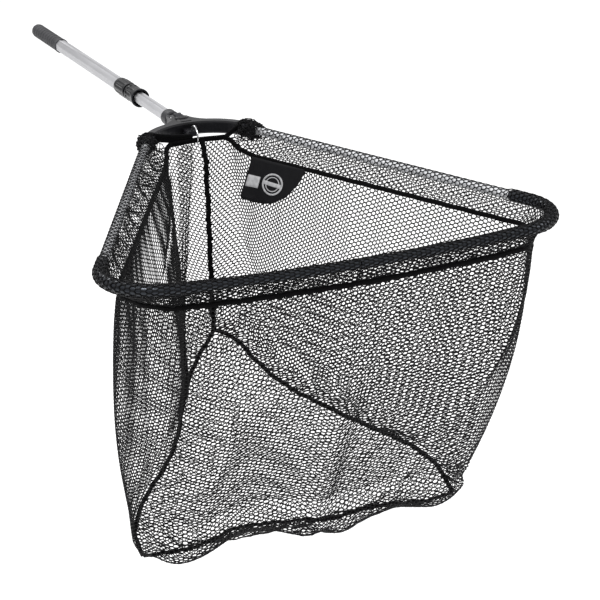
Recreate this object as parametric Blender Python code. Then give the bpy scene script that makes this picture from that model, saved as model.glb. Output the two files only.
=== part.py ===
"""Folding landing net: two-section telescopic handle, fold-back head with a plastic spreader yoke,
two aluminium arms, a flexible front tube and a taped mesh bag.

Frame, in metres: +Y runs along the handle from the butt to the head, +Z is up, and the origin is
the centre of the flat end of the grip. The head is a flat plane that falls a few degrees towards
its front. It has its own coordinates, in which the line through both arm pivots is y = 0 and the
arms' plane is z = 0. "left" is the +X side and "right" the -X side, as seen looking from the
head back along the handle.
"""

import math

import bpy
import numpy as np

# ---- head frame and outline ----
HEAD_TILT = math.radians(-2.6)  # head plane against the handle
HEAD_Y, HEAD_Z = 1.037, 0.001  # where the pivot line crosses the centre plane
HALF_SPREAD = 0.0915  # pivot to centre plane
ARM_ANGLE = math.radians(24.3)  # each arm, outwards from straight ahead
ARM_LENGTH = 0.6116  # pivot to the start of the front corner's bend
CORNER_R = 0.0877
FRONT_R = 1.9315  # bow of the front tube
ARM_R = 0.0068
WALL = 0.0011  # of all aluminium tubes

# ---- fold hinge, shared by socket, yoke and pin ----
HINGE_Y, HINGE_Z, HINGE_R = 0.9300, 0.0105, 0.0022

# ---- cloth edge, shared by sleeves, hems and bag ----
LEAN_BACK, LEAN_ARM = 0.0340, 0.0220  # hem drawn inwards, at the knuckle and at the arm's end
# The same round the corner and front: (heading of the outward normal in degrees, lean)
LEAN_TURN = ((-24.3, 0.0220), (25.0, 0.0310), (60.0, 0.0200), (84.0, 0.0060), (90.0, 0.0040))
BAG_TOP = -0.0390  # height of the side panels' top edge

UP = np.array([0, 0, 1.0])
MIRROR = np.array([-1, 1, 1])  # across the centre plane
SIDES = ((1, "left"), (-1, "right"))

ALUMINIUM = dict(colour=(0.78, 0.78, 0.80), roughness=0.35, metallic=1.0)
PLASTIC = dict(colour=(0.025, 0.025, 0.028), roughness=0.45)
GREY_PLASTIC = dict(colour=(0.05, 0.05, 0.055), roughness=0.55)
RUBBER = dict(colour=(0.045, 0.045, 0.05), roughness=0.75)
MESH_CLOTH = dict(colour=(0.02, 0.02, 0.022), roughness=0.6)
TAPE = dict(colour=(0.012, 0.012, 0.014), roughness=0.85)
STEEL = dict(colour=(0.65, 0.65, 0.66), roughness=0.25, metallic=1.0)


# ================= mesh helpers =================
def clear_scene():
    for thing in list(bpy.data.objects):
        bpy.data.objects.remove(thing, do_unlink=True)
    for block in (bpy.data.meshes, bpy.data.materials, bpy.data.curves):
        for item in list(block):
            block.remove(item)


def material(name, colour, roughness, metallic=0.0):
    mat = bpy.data.materials.new(name)
    mat.use_nodes = True
    shader = mat.node_tree.nodes["Principled BSDF"]
    shader.inputs["Base Color"].default_value = (*colour, 1)
    shader.inputs["Roughness"].default_value = roughness
    shader.inputs["Metallic"].default_value = metallic
    return mat


def add(name, verts, faces, look):
    """Object from vertices and faces, its faces turned outwards."""
    mesh = bpy.data.meshes.new(name)
    mesh.from_pydata([tuple(map(float, vert)) for vert in verts], [], [tuple(f) for f in faces])
    mesh.validate()
    ob = bpy.data.objects.new(name, mesh)
    bpy.context.scene.collection.objects.link(ob)
    mesh.materials.append(material(name + "_mat", **look))
    points = np.array([vert.co[:] for vert in mesh.vertices])
    volume = 0.0  # six times the signed volume
    for poly in mesh.polygons:
        i = poly.vertices
        for k in range(1, len(i) - 1):
            volume += np.dot(points[i[0]], np.cross(points[i[k]], points[i[k + 1]]))
    if volume < 0:
        mesh.flip_normals()
    return ob


def loft(name, rings, look, loop=False):
    """Closed body through rings of equal size; capped at both ends unless it loops."""
    rings = [np.asarray(ring, float) for ring in rings]
    n, m = len(rings[0]), len(rings)
    faces = []
    for j in range(m if loop else m - 1):
        a, b = j * n, ((j + 1) % m) * n
        faces += [(a + k, a + (k + 1) % n, b + (k + 1) % n, b + k) for k in range(n)]
    if not loop:
        faces += [tuple(range(n))[::-1], tuple((m - 1) * n + k for k in range(n))]
    return add(name, np.concatenate(rings), faces, look)


def angles(n, start=0.0):
    return start + np.arange(n) * 2 * math.pi / n


def round_ring(y, radius, n):
    a = angles(n)
    return np.stack([radius * np.cos(a), np.full(n, y), radius * np.sin(a)], -1)


def oct_ring(y, across, n):
    """n points round an octagon, given its size across flats."""
    a = angles(n)
    fold = (a + math.pi / 8) % (math.pi / 4) - math.pi / 8
    radius = across / 2 / np.cos(fold)
    return np.stack([radius * np.cos(a), np.full(n, y), radius * np.sin(a)], -1)


def oct_tube(name, y_back, y_front, across_outer, across_inner, look):
    stations = (
        (y_back, across_outer),
        (y_front, across_outer),
        (y_front, across_inner),
        (y_back, across_inner),
    )
    return loft(name, [oct_ring(y, across, 16) for y, across in stations], look, loop=True)


def cylinder(start, end, radius, n=24, end_radius=None, name="tool", look=PLASTIC):
    start, end = np.asarray(start, float), np.asarray(end, float)
    axis = (end - start) / np.linalg.norm(end - start)
    u = np.cross(axis, [0.3, 0.5, 0.81])
    u /= np.linalg.norm(u)
    v = np.cross(axis, u)
    a = angles(n)
    circle = np.cos(a)[:, None] * u + np.sin(a)[:, None] * v
    end_radius = radius if end_radius is None else end_radius
    return loft(name, [start + radius * circle, end + end_radius * circle], look)


def prism(outline, axis, lo, hi):
    """Tool body: an outline across axis ('x': (y, z), 'z': (x, y)), pulled from lo to hi."""
    outline = np.asarray(outline, float)
    column = 0 if axis == "x" else 2
    return loft("tool", [np.insert(outline, column, w, axis=1) for w in (lo, hi)], PLASTIC)


def rectangle(a0, b0, a1, b1):
    return [(a0, b0), (a1, b0), (a1, b1), (a0, b1)]


def combine(ob, tool, operation):
    """Boolean, made into plain geometry at once; the tool is used up."""
    mod = ob.modifiers.new("bool", "BOOLEAN")
    mod.operation, mod.solver, mod.object = operation, "EXACT", tool
    bpy.context.view_layer.update()
    evaluated = ob.evaluated_get(bpy.context.evaluated_depsgraph_get())
    mesh = bpy.data.meshes.new_from_object(evaluated)
    ob.modifiers.clear()
    old = ob.data
    ob.data = mesh
    mesh.materials.clear()
    mesh.materials.append(old.materials[0])
    for poly in mesh.polygons:
        poly.material_index = 0
    bpy.data.meshes.remove(old)
    tool_mesh = tool.data
    bpy.data.objects.remove(tool, do_unlink=True)
    bpy.data.meshes.remove(tool_mesh)


def join(ob, tool):
    combine(ob, tool, "UNION")


def cut(ob, tool):
    combine(ob, tool, "DIFFERENCE")


def origin_at(ob, point):
    """Sets the object's origin, leaving its surface where it is."""
    point = np.asarray(point, float)
    for vert in ob.data.vertices:
        vert.co = tuple(vert.co[k] - point[k] for k in range(3))
    ob.location = tuple(map(float, point))


# ================= head geometry =================
def head(p):
    """Head coordinates to the handle's frame."""
    p = np.asarray(p, float)
    x, y, z = p[..., 0], p[..., 1], p[..., 2]
    c, s = math.cos(HEAD_TILT), math.sin(HEAD_TILT)
    return np.stack([x, HEAD_Y + c * y - s * z, HEAD_Z + s * y + c * z], -1)


def to_head(ob):
    """Moves a mesh built in head coordinates into the handle's frame."""
    points = np.array([vert.co[:] for vert in ob.data.vertices])
    for vert, point in zip(ob.data.vertices, head(points)):
        vert.co = tuple(point)
    return ob


def arm_axes(side):
    """Pivot, direction along the arm, and direction across it away from the centre plane."""
    pivot = np.array([side * HALF_SPREAD, 0.0, 0.0])
    along = np.array([side * math.sin(ARM_ANGLE), math.cos(ARM_ANGLE), 0.0])
    across = np.array([side * math.cos(ARM_ANGLE), -math.sin(ARM_ANGLE), 0.0])
    return pivot, along, across


def half_outline(start):
    """(point, outward normal) from start along the left arm to the centre of the front."""
    pivot, along, across = arm_axes(1)
    corner = pivot + along * ARM_LENGTH - across * CORNER_R
    bow_y = corner[1] - math.sqrt((FRONT_R - CORNER_R) ** 2 - corner[0] ** 2)
    arm_count = max(3, int((ARM_LENGTH - start) / 0.045) + 2)
    places = [(pivot + along * s, across) for s in np.linspace(start, ARM_LENGTH, arm_count)]
    arm_turn = math.atan2(across[1], across[0])
    bow_turn = math.atan2(corner[1] - bow_y, corner[0])
    for centre, radius, turn0, turn1, count in (
        (corner, CORNER_R, arm_turn, bow_turn, 12),
        (np.array([0, bow_y, 0]), FRONT_R, bow_turn, math.pi / 2, 9),
    ):
        for a in np.linspace(turn0, turn1, count)[1:]:
            normal = np.array([math.cos(a), math.sin(a), 0])
            places.append((centre + radius * normal, normal))
    return places


def whole_outline(start):
    half = half_outline(start)
    return half + [(point * MIRROR, normal * MIRROR) for point, normal in half[::-1][1:]]


def lean_on_arm(s):
    """How far inside the arm the hem runs, s metres from the pivot."""
    return LEAN_BACK + (LEAN_ARM - LEAN_BACK) * min(1, max(0, s / ARM_LENGTH))


def lean_at(normal):
    """The same round the corner and along the front, from the outline's normal."""
    turn = math.degrees(math.atan2(normal[1], abs(normal[0])))
    return float(np.interp(turn, *zip(*LEAN_TURN)))


# ================= handle =================
OUTER_AF = 0.0250  # octagon across flats
OUTER_START, OUTER_END = 0.0115, 0.6180
SLIP = 0.0006  # fit of the grip and the lock over the outer tube, across flats
INNER_AF, INNER_START, INNER_END = 0.0216, 0.200, 0.8985
BUSH_LENGTH, BUSH_GAP = 0.0160, 0.0004  # length includes the gap to the inner tube

GRIP_LENGTH, GRIP_R = 0.187, 0.0143
GRIP_SEGMENTS = 32
GROOVE_COUNT, GROOVE_START, GROOVE_PITCH, GROOVE_DEPTH = 9, 0.024, 0.0165, 0.0007


def build_grip():
    profile = [(0.0, 0.0088), (0.0016, 0.0118), (0.0050, 0.0137), (0.0100, GRIP_R)]  # y, radius
    floor = GRIP_R - GROOVE_DEPTH
    for k in range(GROOVE_COUNT):
        y = GROOVE_START + GROOVE_PITCH * k
        profile += [(y, GRIP_R), (y + 0.0012, floor), (y + 0.0042, floor), (y + 0.0054, GRIP_R)]
    profile += [
        (GRIP_LENGTH - 0.010, GRIP_R),
        (GRIP_LENGTH - 0.006, GRIP_R + 0.0006),
        (GRIP_LENGTH, GRIP_R + 0.0004),
    ]
    rings = [round_ring(y, radius, GRIP_SEGMENTS) for y, radius in profile]
    # blind octagonal bore for the outer tube
    rings += [oct_ring(y, OUTER_AF + SLIP, GRIP_SEGMENTS) for y in (GRIP_LENGTH, 0.0110)]
    loft("grip", rings, RUBBER)


def build_tubes():
    for name, start, end, across in (
        ("outer_tube", OUTER_START, OUTER_END, OUTER_AF),
        ("inner_tube", INNER_START, INNER_END, INNER_AF),
    ):
        oct_tube(name, start, end, across, across - 2 * WALL, ALUMINIUM)
    bush_back, bush_front = INNER_START - BUSH_LENGTH, INNER_START - BUSH_GAP
    oct_tube("guide_bush", bush_back, bush_front, 0.0223, 0.0120, PLASTIC)


# ---- twist lock ----
LOCK_BACK, LOCK_JOINT, LOCK_FRONT = 0.5940, 0.6540, 0.7140
LOCK_SEGMENTS, LOCK_RIBS = 48, 12
SPIGOT_R = 0.0131  # also the collet's
SPIGOT_LENGTH = 0.015
LOCK_BORE_AF = 0.0224  # over the inner tube
NUT_BACK = LOCK_JOINT + 0.006
COLLET_BACK, COLLET_FRONT = LOCK_JOINT + 0.017, LOCK_FRONT - 0.0145
COLLET_AF = 0.0221
COLLET_SLIT_HALF = 0.0012


def lock_ring(y, radius, rib_height=0.0):
    a = angles(LOCK_SEGMENTS)
    on_rib = (np.arange(LOCK_SEGMENTS) % (LOCK_SEGMENTS // LOCK_RIBS)) < 2
    r = radius + rib_height * on_rib
    return np.stack([r * np.cos(a), np.full(LOCK_SEGMENTS, y), r * np.sin(a)], -1)


def build_lock_body():
    """Rear half: a ribbed ring with a plain spigot for the nut."""
    spigot_end, step = LOCK_JOINT + SPIGOT_LENGTH, OUTER_END + 0.0005
    outside = (  # y, radius, rib height
        (LOCK_BACK, 0.0146),
        (LOCK_BACK + 0.003, 0.0153),
        (LOCK_BACK + 0.012, 0.0153),
        (LOCK_BACK + 0.014, 0.0149, 0.0012),
        (LOCK_JOINT - 0.010, 0.0149, 0.0012),
        (LOCK_JOINT - 0.008, 0.0156),
        (LOCK_JOINT - 0.001, 0.0156),
        (LOCK_JOINT, 0.0148),
        (LOCK_JOINT, SPIGOT_R),
        (spigot_end, SPIGOT_R),
    )
    bore = (  # y, across flats
        (spigot_end, LOCK_BORE_AF),
        (step, LOCK_BORE_AF),
        (step, OUTER_AF + SLIP),
        (LOCK_BACK, OUTER_AF + SLIP),
    )
    rings = [lock_ring(*station) for station in outside]
    rings += [oct_ring(y, across, LOCK_SEGMENTS) for y, across in bore]
    loft("lock_body", rings, PLASTIC, loop=True)


def build_lock_nut():
    """Front half: waisted, flaring to its open front edge."""
    stations = (  # y, radius, rib height; along the outside, then back through the bore
        (NUT_BACK, 0.0150),
        (LOCK_JOINT + 0.009, 0.0160),
        (LOCK_JOINT + 0.014, 0.0160),
        (LOCK_JOINT + 0.016, 0.0147, 0.0009),
        (LOCK_FRONT - 0.022, 0.0147, 0.0009),
        (LOCK_FRONT - 0.018, 0.0152),
        (LOCK_FRONT - 0.005, 0.0173),
        (LOCK_FRONT, 0.0173),
        (LOCK_FRONT, 0.0150),
        (LOCK_FRONT - 0.006, 0.0125),
        (LOCK_FRONT - 0.010, 0.0125),
        (LOCK_FRONT - 0.013, 0.0134),
        (NUT_BACK, 0.0134),
    )
    loft("lock_nut", [lock_ring(*station) for station in stations], PLASTIC, loop=True)


def build_lock_collet():
    """Split collet round the inner tube, inside the nut."""
    rings = [
        round_ring(COLLET_BACK, SPIGOT_R, 32),
        round_ring(LOCK_FRONT - 0.016, SPIGOT_R, 32),
        round_ring(COLLET_FRONT, SPIGOT_R - 0.0003, 32),
        oct_ring(COLLET_FRONT, COLLET_AF, 32),
        oct_ring(COLLET_BACK, COLLET_AF, 32),
    ]
    collet = loft("lock_collet", rings, GREY_PLASTIC, loop=True)
    slit = rectangle(0.66, 0.0, 0.72, 0.02)
    cut(collet, prism(slit, "x", -COLLET_SLIT_HALF, COLLET_SLIT_HALF))


# ---- socket ----
COLLAR_BACK, COLLAR_FRONT, COLLAR_R = 0.8760, 0.9030, 0.0146
COLLAR_SEGMENTS = 32
TONGUE_EYE_R, TONGUE_HALF, TONGUE_BOTTOM = 0.0080, 0.0055, -0.0115


def hinge_arc(radius, start, end, n):
    """(y, z) points round the fold hinge, between two angles in degrees."""
    turns = np.linspace(math.radians(start), math.radians(end), n)
    return [(HINGE_Y + radius * math.cos(a), HINGE_Z + radius * math.sin(a)) for a in turns]


def hinge_bore(reach):
    return cylinder((-reach, HINGE_Y, HINGE_Z), (reach, HINGE_Y, HINGE_Z), HINGE_R + 0.00025)


def build_socket():
    """Collar over the inner tube, with a tongue that ends in the fold hinge's eye."""
    profile = (  # y, radius
        (COLLAR_BACK, COLLAR_R - 0.0008),
        (COLLAR_BACK + 0.0012, COLLAR_R),
        (COLLAR_FRONT - 0.0030, COLLAR_R),
        (COLLAR_FRONT, COLLAR_R - 0.0022),
    )
    rings = [round_ring(y, radius, COLLAR_SEGMENTS) for y, radius in profile]
    socket = loft("socket", rings, GREY_PLASTIC)
    bore_ends = (COLLAR_BACK - 0.002, COLLAR_FRONT - 0.0040)
    bore = [oct_ring(y, INNER_AF + 0.0005, COLLAR_SEGMENTS) for y in bore_ends]
    cut(socket, loft("tool", bore, PLASTIC))
    root_y = COLLAR_FRONT - 0.0025
    tongue = [(root_y, 0.0030)] + hinge_arc(TONGUE_EYE_R, 184, -60, 17)
    tongue += [(0.9180, TONGUE_BOTTOM), (root_y, TONGUE_BOTTOM)]
    join(socket, prism(tongue, "x", -TONGUE_HALF, TONGUE_HALF))
    cut(socket, hinge_bore(0.02))


# ================= yoke =================
YOKE_SAG = 0.060  # the yoke's bow behind the pivot line
YOKE_TOP, YOKE_BOTTOM = 0.0100, -0.0125
YOKE_HALF, YOKE_SWELL = 0.0080, 0.0015  # half width at the ends, and what the middle adds
YOKE_CHAMFER = 0.0026
KNUCKLE_R, PIVOT_R = 0.0125, 0.0030
SLOT_HALF = 0.0046  # slot in each knuckle for the arm's eye
RING_R, RING_WIRE_R = 0.0160, 0.0014
RING_Y = -0.0340  # hole for the ring, in head coordinates

# Edge of the web that flares from the housing into the bow: x, y in head coordinates
WEB_FLARE = [
    (0.056, -0.0450), (0.050, -0.0535), (0.040, -0.0625), (0.030, -0.0705),
    (0.0215, -0.0800), (0.0160, -0.0900), (0.0130, -0.1000),
]
WEB_INNER = [(-0.030, -0.0545), (0.0, -0.0590), (0.030, -0.0545)]  # x, y
# Tab on the bow's inner face that carries the ring: x, y in head coordinates
RING_TAB = [
    (-0.0105, -0.060), (0.0105, -0.060), (0.0105, -0.032),
    (0.0075, -0.0275), (-0.0075, -0.0275), (-0.0105, -0.032),
]

HOUSING_BACK, HOUSING_FRONT = 0.9038, 0.9760
HOUSING_HALF, HOUSING_TOP, HOUSING_BOTTOM = 0.0128, 0.0145, -0.0150
HOUSING_FLARE = 1.12  # width at the front over width at the back
EYE_CLEARANCE_R = 0.0085
TONGUE_SLOT_HALF = 0.0061

BUTTON_Y, BUTTON_TOP = 0.9520, 0.0163
BUTTON_HALF_X, BUTTON_HALF_Y = 0.0115, 0.0074
BUTTON_GAP, BUTTON_BEVEL = 0.0004, 0.0012
GROOVE_CUT = 0.0007  # half width and depth of the button's grooves


def pivot_bore(side, reach):
    pivot = arm_axes(side)[0]
    return cylinder(pivot - UP * reach, pivot + UP * reach, PIVOT_R + 0.0003)


def yoke_ring(t):
    """Chamfered section of the bow, t from -1 to 1 across it, in head coordinates."""
    radius = (HALF_SPREAD**2 + YOKE_SAG**2) / (2 * YOKE_SAG)
    a = t * math.asin(HALF_SPREAD / radius)
    centre_x, centre_y = radius * math.sin(a), radius - YOKE_SAG - radius * math.cos(a)
    normal_x, normal_y = math.sin(a), -math.cos(a)  # towards the handle
    half = YOKE_HALF + YOKE_SWELL * (1 - t * t)
    flat = half - YOKE_CHAMFER
    high, low = YOKE_TOP - YOKE_CHAMFER, YOKE_BOTTOM + YOKE_CHAMFER
    section = (
        (flat, YOKE_TOP), (half, high), (half, low), (flat, YOKE_BOTTOM),
        (-flat, YOKE_BOTTOM), (-half, low), (-half, high), (-flat, YOKE_TOP),
    )
    return [(centre_x + normal_x * u, centre_y + normal_y * u, z) for u, z in section]


def build_housing():
    """Housing behind the bow, still without the slot for the socket's tongue."""
    half, top, bottom = HOUSING_HALF, HOUSING_TOP, HOUSING_BOTTOM
    edge = [  # x, z of the +X half, from the top down
        (half - 0.0048, top),
        (half - 0.0012, top - 0.0018),
        (half, top - 0.0052),
        (half, bottom + 0.0060),
        (half - 0.0055, bottom),
    ]
    section = edge + [(-x, z) for x, z in edge[::-1]]
    ends = ((HOUSING_BACK, 1.0), (HOUSING_FRONT, HOUSING_FLARE))
    rings = [[(x * scale, y, z) for x, z in section] for y, scale in ends]
    housing = loft("tool", rings, PLASTIC)
    clearance = [(0.90, HINGE_Z), (HINGE_Y - EYE_CLEARANCE_R, HINGE_Z)]
    clearance += hinge_arc(EYE_CLEARANCE_R, 170, 90, 9)
    clearance += [(HINGE_Y, 0.030), (0.90, 0.030)]
    cut(housing, prism(clearance, "x", -0.03, 0.03))
    return housing


def button_oval(half_x, half_y):
    """Squared-off oval round the button's centre: x, y."""
    power = 0.75

    def squared(value):
        return math.copysign(abs(value) ** power, value)

    return [
        (half_x * squared(math.cos(a)), BUTTON_Y + half_y * squared(math.sin(a)))
        for a in angles(24)
    ]


def build_yoke():
    yoke = loft("yoke", [yoke_ring(t) for t in np.linspace(-0.995, 0.995, 25)], PLASTIC)
    for side, _ in SIDES:
        x = side * HALF_SPREAD
        join(yoke, cylinder((x, 0.0, -0.0118), (x, 0.0, 0.0108), KNUCKLE_R, 28))
    web = WEB_FLARE + [(-x, y) for x, y in WEB_FLARE[::-1]] + WEB_INNER
    join(yoke, prism(web, "z", -0.0108, 0.0088))
    join(yoke, prism(RING_TAB, "z", -0.0085, 0.0010))
    for side, _ in SIDES:
        x = side * HALF_SPREAD
        slot = rectangle(x - 0.030, -0.0112, x + 0.030, 0.030)
        cut(yoke, prism(slot, "z", -SLOT_HALF, SLOT_HALF))
        cut(yoke, pivot_bore(side, 0.03))
    cut(yoke, cylinder((0, RING_Y, -0.02), (0, RING_Y, 0.02), RING_WIRE_R + 0.0012, 16))
    to_head(yoke)
    join(yoke, build_housing())
    tongue_slot = rectangle(0.895, -0.03, 0.9395, 0.03)
    cut(yoke, prism(tongue_slot, "x", -TONGUE_SLOT_HALF, TONGUE_SLOT_HALF))
    cut(yoke, hinge_bore(0.03))
    well = button_oval(BUTTON_HALF_X + BUTTON_GAP, BUTTON_HALF_Y + BUTTON_GAP)
    cut(yoke, prism(well, "z", 0.0070, 0.0300))
    origin_at(yoke, (0, HINGE_Y, HINGE_Z))


def build_push_button():
    rings = []
    for z, bevel in ((0.0100, 0.0), (BUTTON_TOP - BUTTON_BEVEL, 0.0), (BUTTON_TOP, BUTTON_BEVEL)):
        oval = button_oval(BUTTON_HALF_X - bevel, BUTTON_HALF_Y - bevel)
        rings.append([(x, y, z) for x, y in oval])
    button = loft("push_button", rings, PLASTIC)
    for k in (-1, 0, 1):
        y = BUTTON_Y + 0.0032 * k
        groove = rectangle(y - GROOVE_CUT, BUTTON_TOP - GROOVE_CUT, y + GROOVE_CUT, 0.02)
        cut(button, prism(groove, "x", -0.0070, 0.0070))
    origin_at(button, (0, BUTTON_Y, BUTTON_TOP))


def build_hinge_pin():
    half, centre = 0.0126, (0, HINGE_Y, HINGE_Z)
    ends = ((-half, HINGE_Y, HINGE_Z), (half, HINGE_Y, HINGE_Z))
    origin_at(cylinder(*ends, HINGE_R, name="hinge_pin", look=STEEL), centre)


def build_hem_ring():
    """Ring through the tab, hanging round the chord hem."""
    centre = np.array([0.0, RING_Y + RING_R, -0.0038])
    rings = []
    for a in angles(32):
        spoke = np.array([0, math.cos(a), math.sin(a)])
        rings.append([
            centre
            + spoke * (RING_R + RING_WIRE_R * math.cos(q))
            + np.array([RING_WIRE_R * math.sin(q), 0, 0])
            for q in angles(10)
        ])
    to_head(loft("hem_ring", rings, STEEL, loop=True))


# ================= arms =================
ARM_START, ARM_END = 0.0210, 0.6150  # along the arm, from its pivot
RIVET_AT = 0.594
RIVET_R, RIVET_HOLE_R = 0.0014, 0.0018
EYE_R, EYE_HALF = 0.0100, 0.0042
NECK_HALF = 0.0050  # half width of the neck between eye and arm


def rivet_hole(side):
    pivot, along, _ = arm_axes(side)
    centre = pivot + along * RIVET_AT
    return cylinder(centre + UP * 0.02, centre - UP * 0.02, RIVET_HOLE_R, 12)


def build_arm(side, tag):
    pivot, along, across = arm_axes(side)
    rings = []
    for s, radius in (
        (ARM_START, ARM_R), (ARM_END, ARM_R), (ARM_END, ARM_R - WALL), (ARM_START, ARM_R - WALL),
    ):
        rings.append([
            pivot + along * s + across * radius * math.cos(a) + UP * radius * math.sin(a)
            for a in angles(20)
        ])
    arm = loft("arm_" + tag, rings, ALUMINIUM, loop=True)
    cut(arm, rivet_hole(side))
    origin_at(to_head(arm), head(pivot))


def build_arm_eye(side, tag):
    """Eye in the knuckle, with a plug in the tube's mouth."""
    pivot, along, across = arm_axes(side)
    half = UP * EYE_HALF
    eye = cylinder(pivot - half, pivot + half, EYE_R, 28, name="arm_eye_" + tag, look=STEEL)
    neck = [
        tuple((pivot + along * s + across * offset)[:2])
        for s, offset in rectangle(0.002, -NECK_HALF, 0.0205, NECK_HALF)
    ]
    join(eye, prism(neck, "z", -EYE_HALF, EYE_HALF))
    join(eye, cylinder(pivot + along * 0.0150, pivot + along * 0.0480, 0.0040, 16))
    cut(eye, pivot_bore(side, 0.02))
    origin_at(to_head(eye), head(pivot))


def build_pivot_pin(side, tag):
    """Pin with a flat head on top."""
    pivot = arm_axes(side)[0]
    foot, top = pivot - UP * 0.0122, pivot + UP * 0.0115
    pin = cylinder(foot, top, PIVOT_R, name="pivot_pin_" + tag, look=STEEL)
    join(pin, cylinder(pivot + UP * 0.0112, pivot + UP * 0.0128, 0.0052))
    origin_at(to_head(pin), head(pivot))


def build_rivet(side, tag):
    """Rivet through the arm and the front tube's end."""
    pivot, along, _ = arm_axes(side)
    centre = pivot + along * RIVET_AT
    foot, top = centre - UP * 0.0086, centre + UP * 0.0100
    rivet = cylinder(foot, top, RIVET_R, 12, name="rivet_" + tag, look=STEEL)
    join(rivet, cylinder(centre + UP * 0.0098, centre + UP * 0.0112, 0.0034, 16, 0.0026))
    to_head(rivet)


# ================= front tube =================
TUBE_R, TUBE_END_R = 0.0070, 0.0094  # flexible tube, and its thicker ends over the arms
TUBE_START = 0.575  # along the arm
TAPER_START, TAPER_LENGTH = 0.13, 0.16  # along the tube, from each end


def build_front_tube():
    places = whole_outline(TUBE_START)
    steps = [np.linalg.norm(b[0] - a[0]) for a, b in zip(places, places[1:])]
    length = np.concatenate([[0], np.cumsum(steps)])
    rings = []
    for (point, normal), s in zip(places, length):
        from_end = min(s, length[-1] - s)
        taper = min(1, max(0, (from_end - TAPER_START) / TAPER_LENGTH))
        radius = TUBE_END_R + (TUBE_R - TUBE_END_R) * taper
        rings.append([
            point + normal * radius * math.cos(a) + UP * (radius * math.sin(a))
            for a in angles(14)
        ])
    front = loft("front_tube", rings, RUBBER)
    for side, _ in SIDES:
        pivot, along, _ = arm_axes(side)
        mouth, bottom = pivot + along * (TUBE_START - 0.004), pivot + along * 0.6165
        cut(front, cylinder(mouth, bottom, ARM_R + 0.0004, 20))
        cut(front, rivet_hole(side))
    to_head(front)


# ================= sleeves and hems =================
SLEEVE_ARM, SLEEVE_FRONT = 0.0285, 0.0270  # depth of the mesh sleeve below the tubes' centre
SLEEVE_FOOT = 0.0012
SKIRT_FROM = 0.35  # minus the sine at which the round turns into the skirt
HEM_HEIGHT, HEM_GAP, HEM_HALF = 0.0075, 0.0004, 0.0016
FRONT_SLEEVE_Y = 0.585  # the front sleeve and hem lie ahead of this
CHORD_HALF = 0.0560


def sleeve_section(inner_r, outer_r, depth):
    """Round over the tube, drawn together into a skirt below: two loops of 16 (across, z)."""
    inner, outer = [], []
    for a in angles(16, math.pi / 2):
        c, s = math.cos(a), math.sin(a)
        inner.append((inner_r * c, inner_r * s))
        if s > -SKIRT_FROM:
            outer.append((outer_r * c, outer_r * s))
        else:
            sign = 0.0 if abs(c) <= 1e-6 else math.copysign(1.0, c)
            deep = (-s - SKIRT_FROM) / (1 - SKIRT_FROM)
            width = (outer_r * (1 - deep) + SLEEVE_FOOT * deep) * 0.8
            drop = outer_r * 0.7 + (depth - outer_r * 0.7) * deep**0.8
            outer.append((sign * width, -drop))
    return inner, outer


def sleeve(name, places, leans, inner_r, outer_r, depth):
    """Tube of cloth along (point, across), open at both ends, its skirt drawn inwards."""
    inner, outer = sleeve_section(inner_r, outer_r, depth)
    top = 0.7 * outer_r
    verts = []
    for (centre, across), lean in zip(places, leans):
        for x, z in outer:
            share = min(1, max(0, (-z - top) / (depth - top)))
            verts.append(centre + across * (x - lean * share) + UP * z)
    verts += [centre + across * x + UP * z for centre, across in places for x, z in inner]
    n, m = len(inner), len(places)
    skin, last = m * n, (m - 1) * n  # first inner vertex, first vertex of the last ring
    faces = []
    for j in range(m - 1):
        a, b = j * n, (j + 1) * n
        for k in range(n):
            k1 = (k + 1) % n
            faces.append((a + k, a + k1, b + k1, b + k))
            faces.append((skin + a + k, skin + b + k, skin + b + k1, skin + a + k1))
    for k in range(n):
        k1 = (k + 1) % n
        faces.append((k, skin + k, skin + k1, k1))
        faces.append((last + k, last + k1, skin + last + k1, skin + last + k))
    to_head(add(name, verts, faces, MESH_CLOTH))


def strip(name, places, half, bottom, top):
    """A flat tape standing on edge along (point, across)."""
    corners = ((half, bottom), (-half, bottom), (-half, top), (half, top))
    rings = [[centre + across * x + UP * z for x, z in corners] for centre, across in places]
    to_head(loft(name, rings, TAPE))


def hem(name, places, sleeve_depth):
    top = -sleeve_depth - HEM_GAP
    strip(name, places, HEM_HALF, top - HEM_HEIGHT, top)


def build_arm_sleeve(side, tag):
    pivot, along, across = arm_axes(side)
    stations = np.linspace(0.034, 0.566, 4)
    places = [(pivot + along * s, across) for s in stations]
    leans = [lean_on_arm(s) for s in stations]
    sleeve("sleeve_" + tag, places, leans, ARM_R + 0.0007, ARM_R + 0.0017, SLEEVE_ARM)
    edge = [
        (pivot + along * s - across * lean_on_arm(s), across) for s in np.linspace(0.004, 0.600, 5)
    ]
    hem("hem_" + tag, edge, SLEEVE_ARM)


def build_front_sleeve():
    """One sleeve round both corners, wide enough for the tube's thick ends."""
    places = [place for place in whole_outline(0.0) if place[0][1] > FRONT_SLEEVE_Y]
    leans = [lean_at(normal) for _, normal in places]
    inner_r, outer_r = TUBE_END_R + 0.0005, TUBE_END_R + 0.0014
    sleeve("sleeve_front", places, leans, inner_r, outer_r, SLEEVE_FRONT)
    edge = [(point - normal * lean, normal) for (point, normal), lean in zip(places, leans)]
    hem("hem_front", edge, SLEEVE_FRONT)


def build_chord_hem():
    """The hem that crosses from knuckle to knuckle through the ring."""
    places = []
    for x in np.linspace(-CHORD_HALF, CHORD_HALF, 9):
        y = -0.0088 + 0.0045 * (abs(x) / CHORD_HALF) ** 1.5
        places.append((np.array([x, y, 0.0]), np.array([0, 1.0, 0])))
    strip("hem_chord", places, 0.0012, -0.0125, -0.0055)


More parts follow.
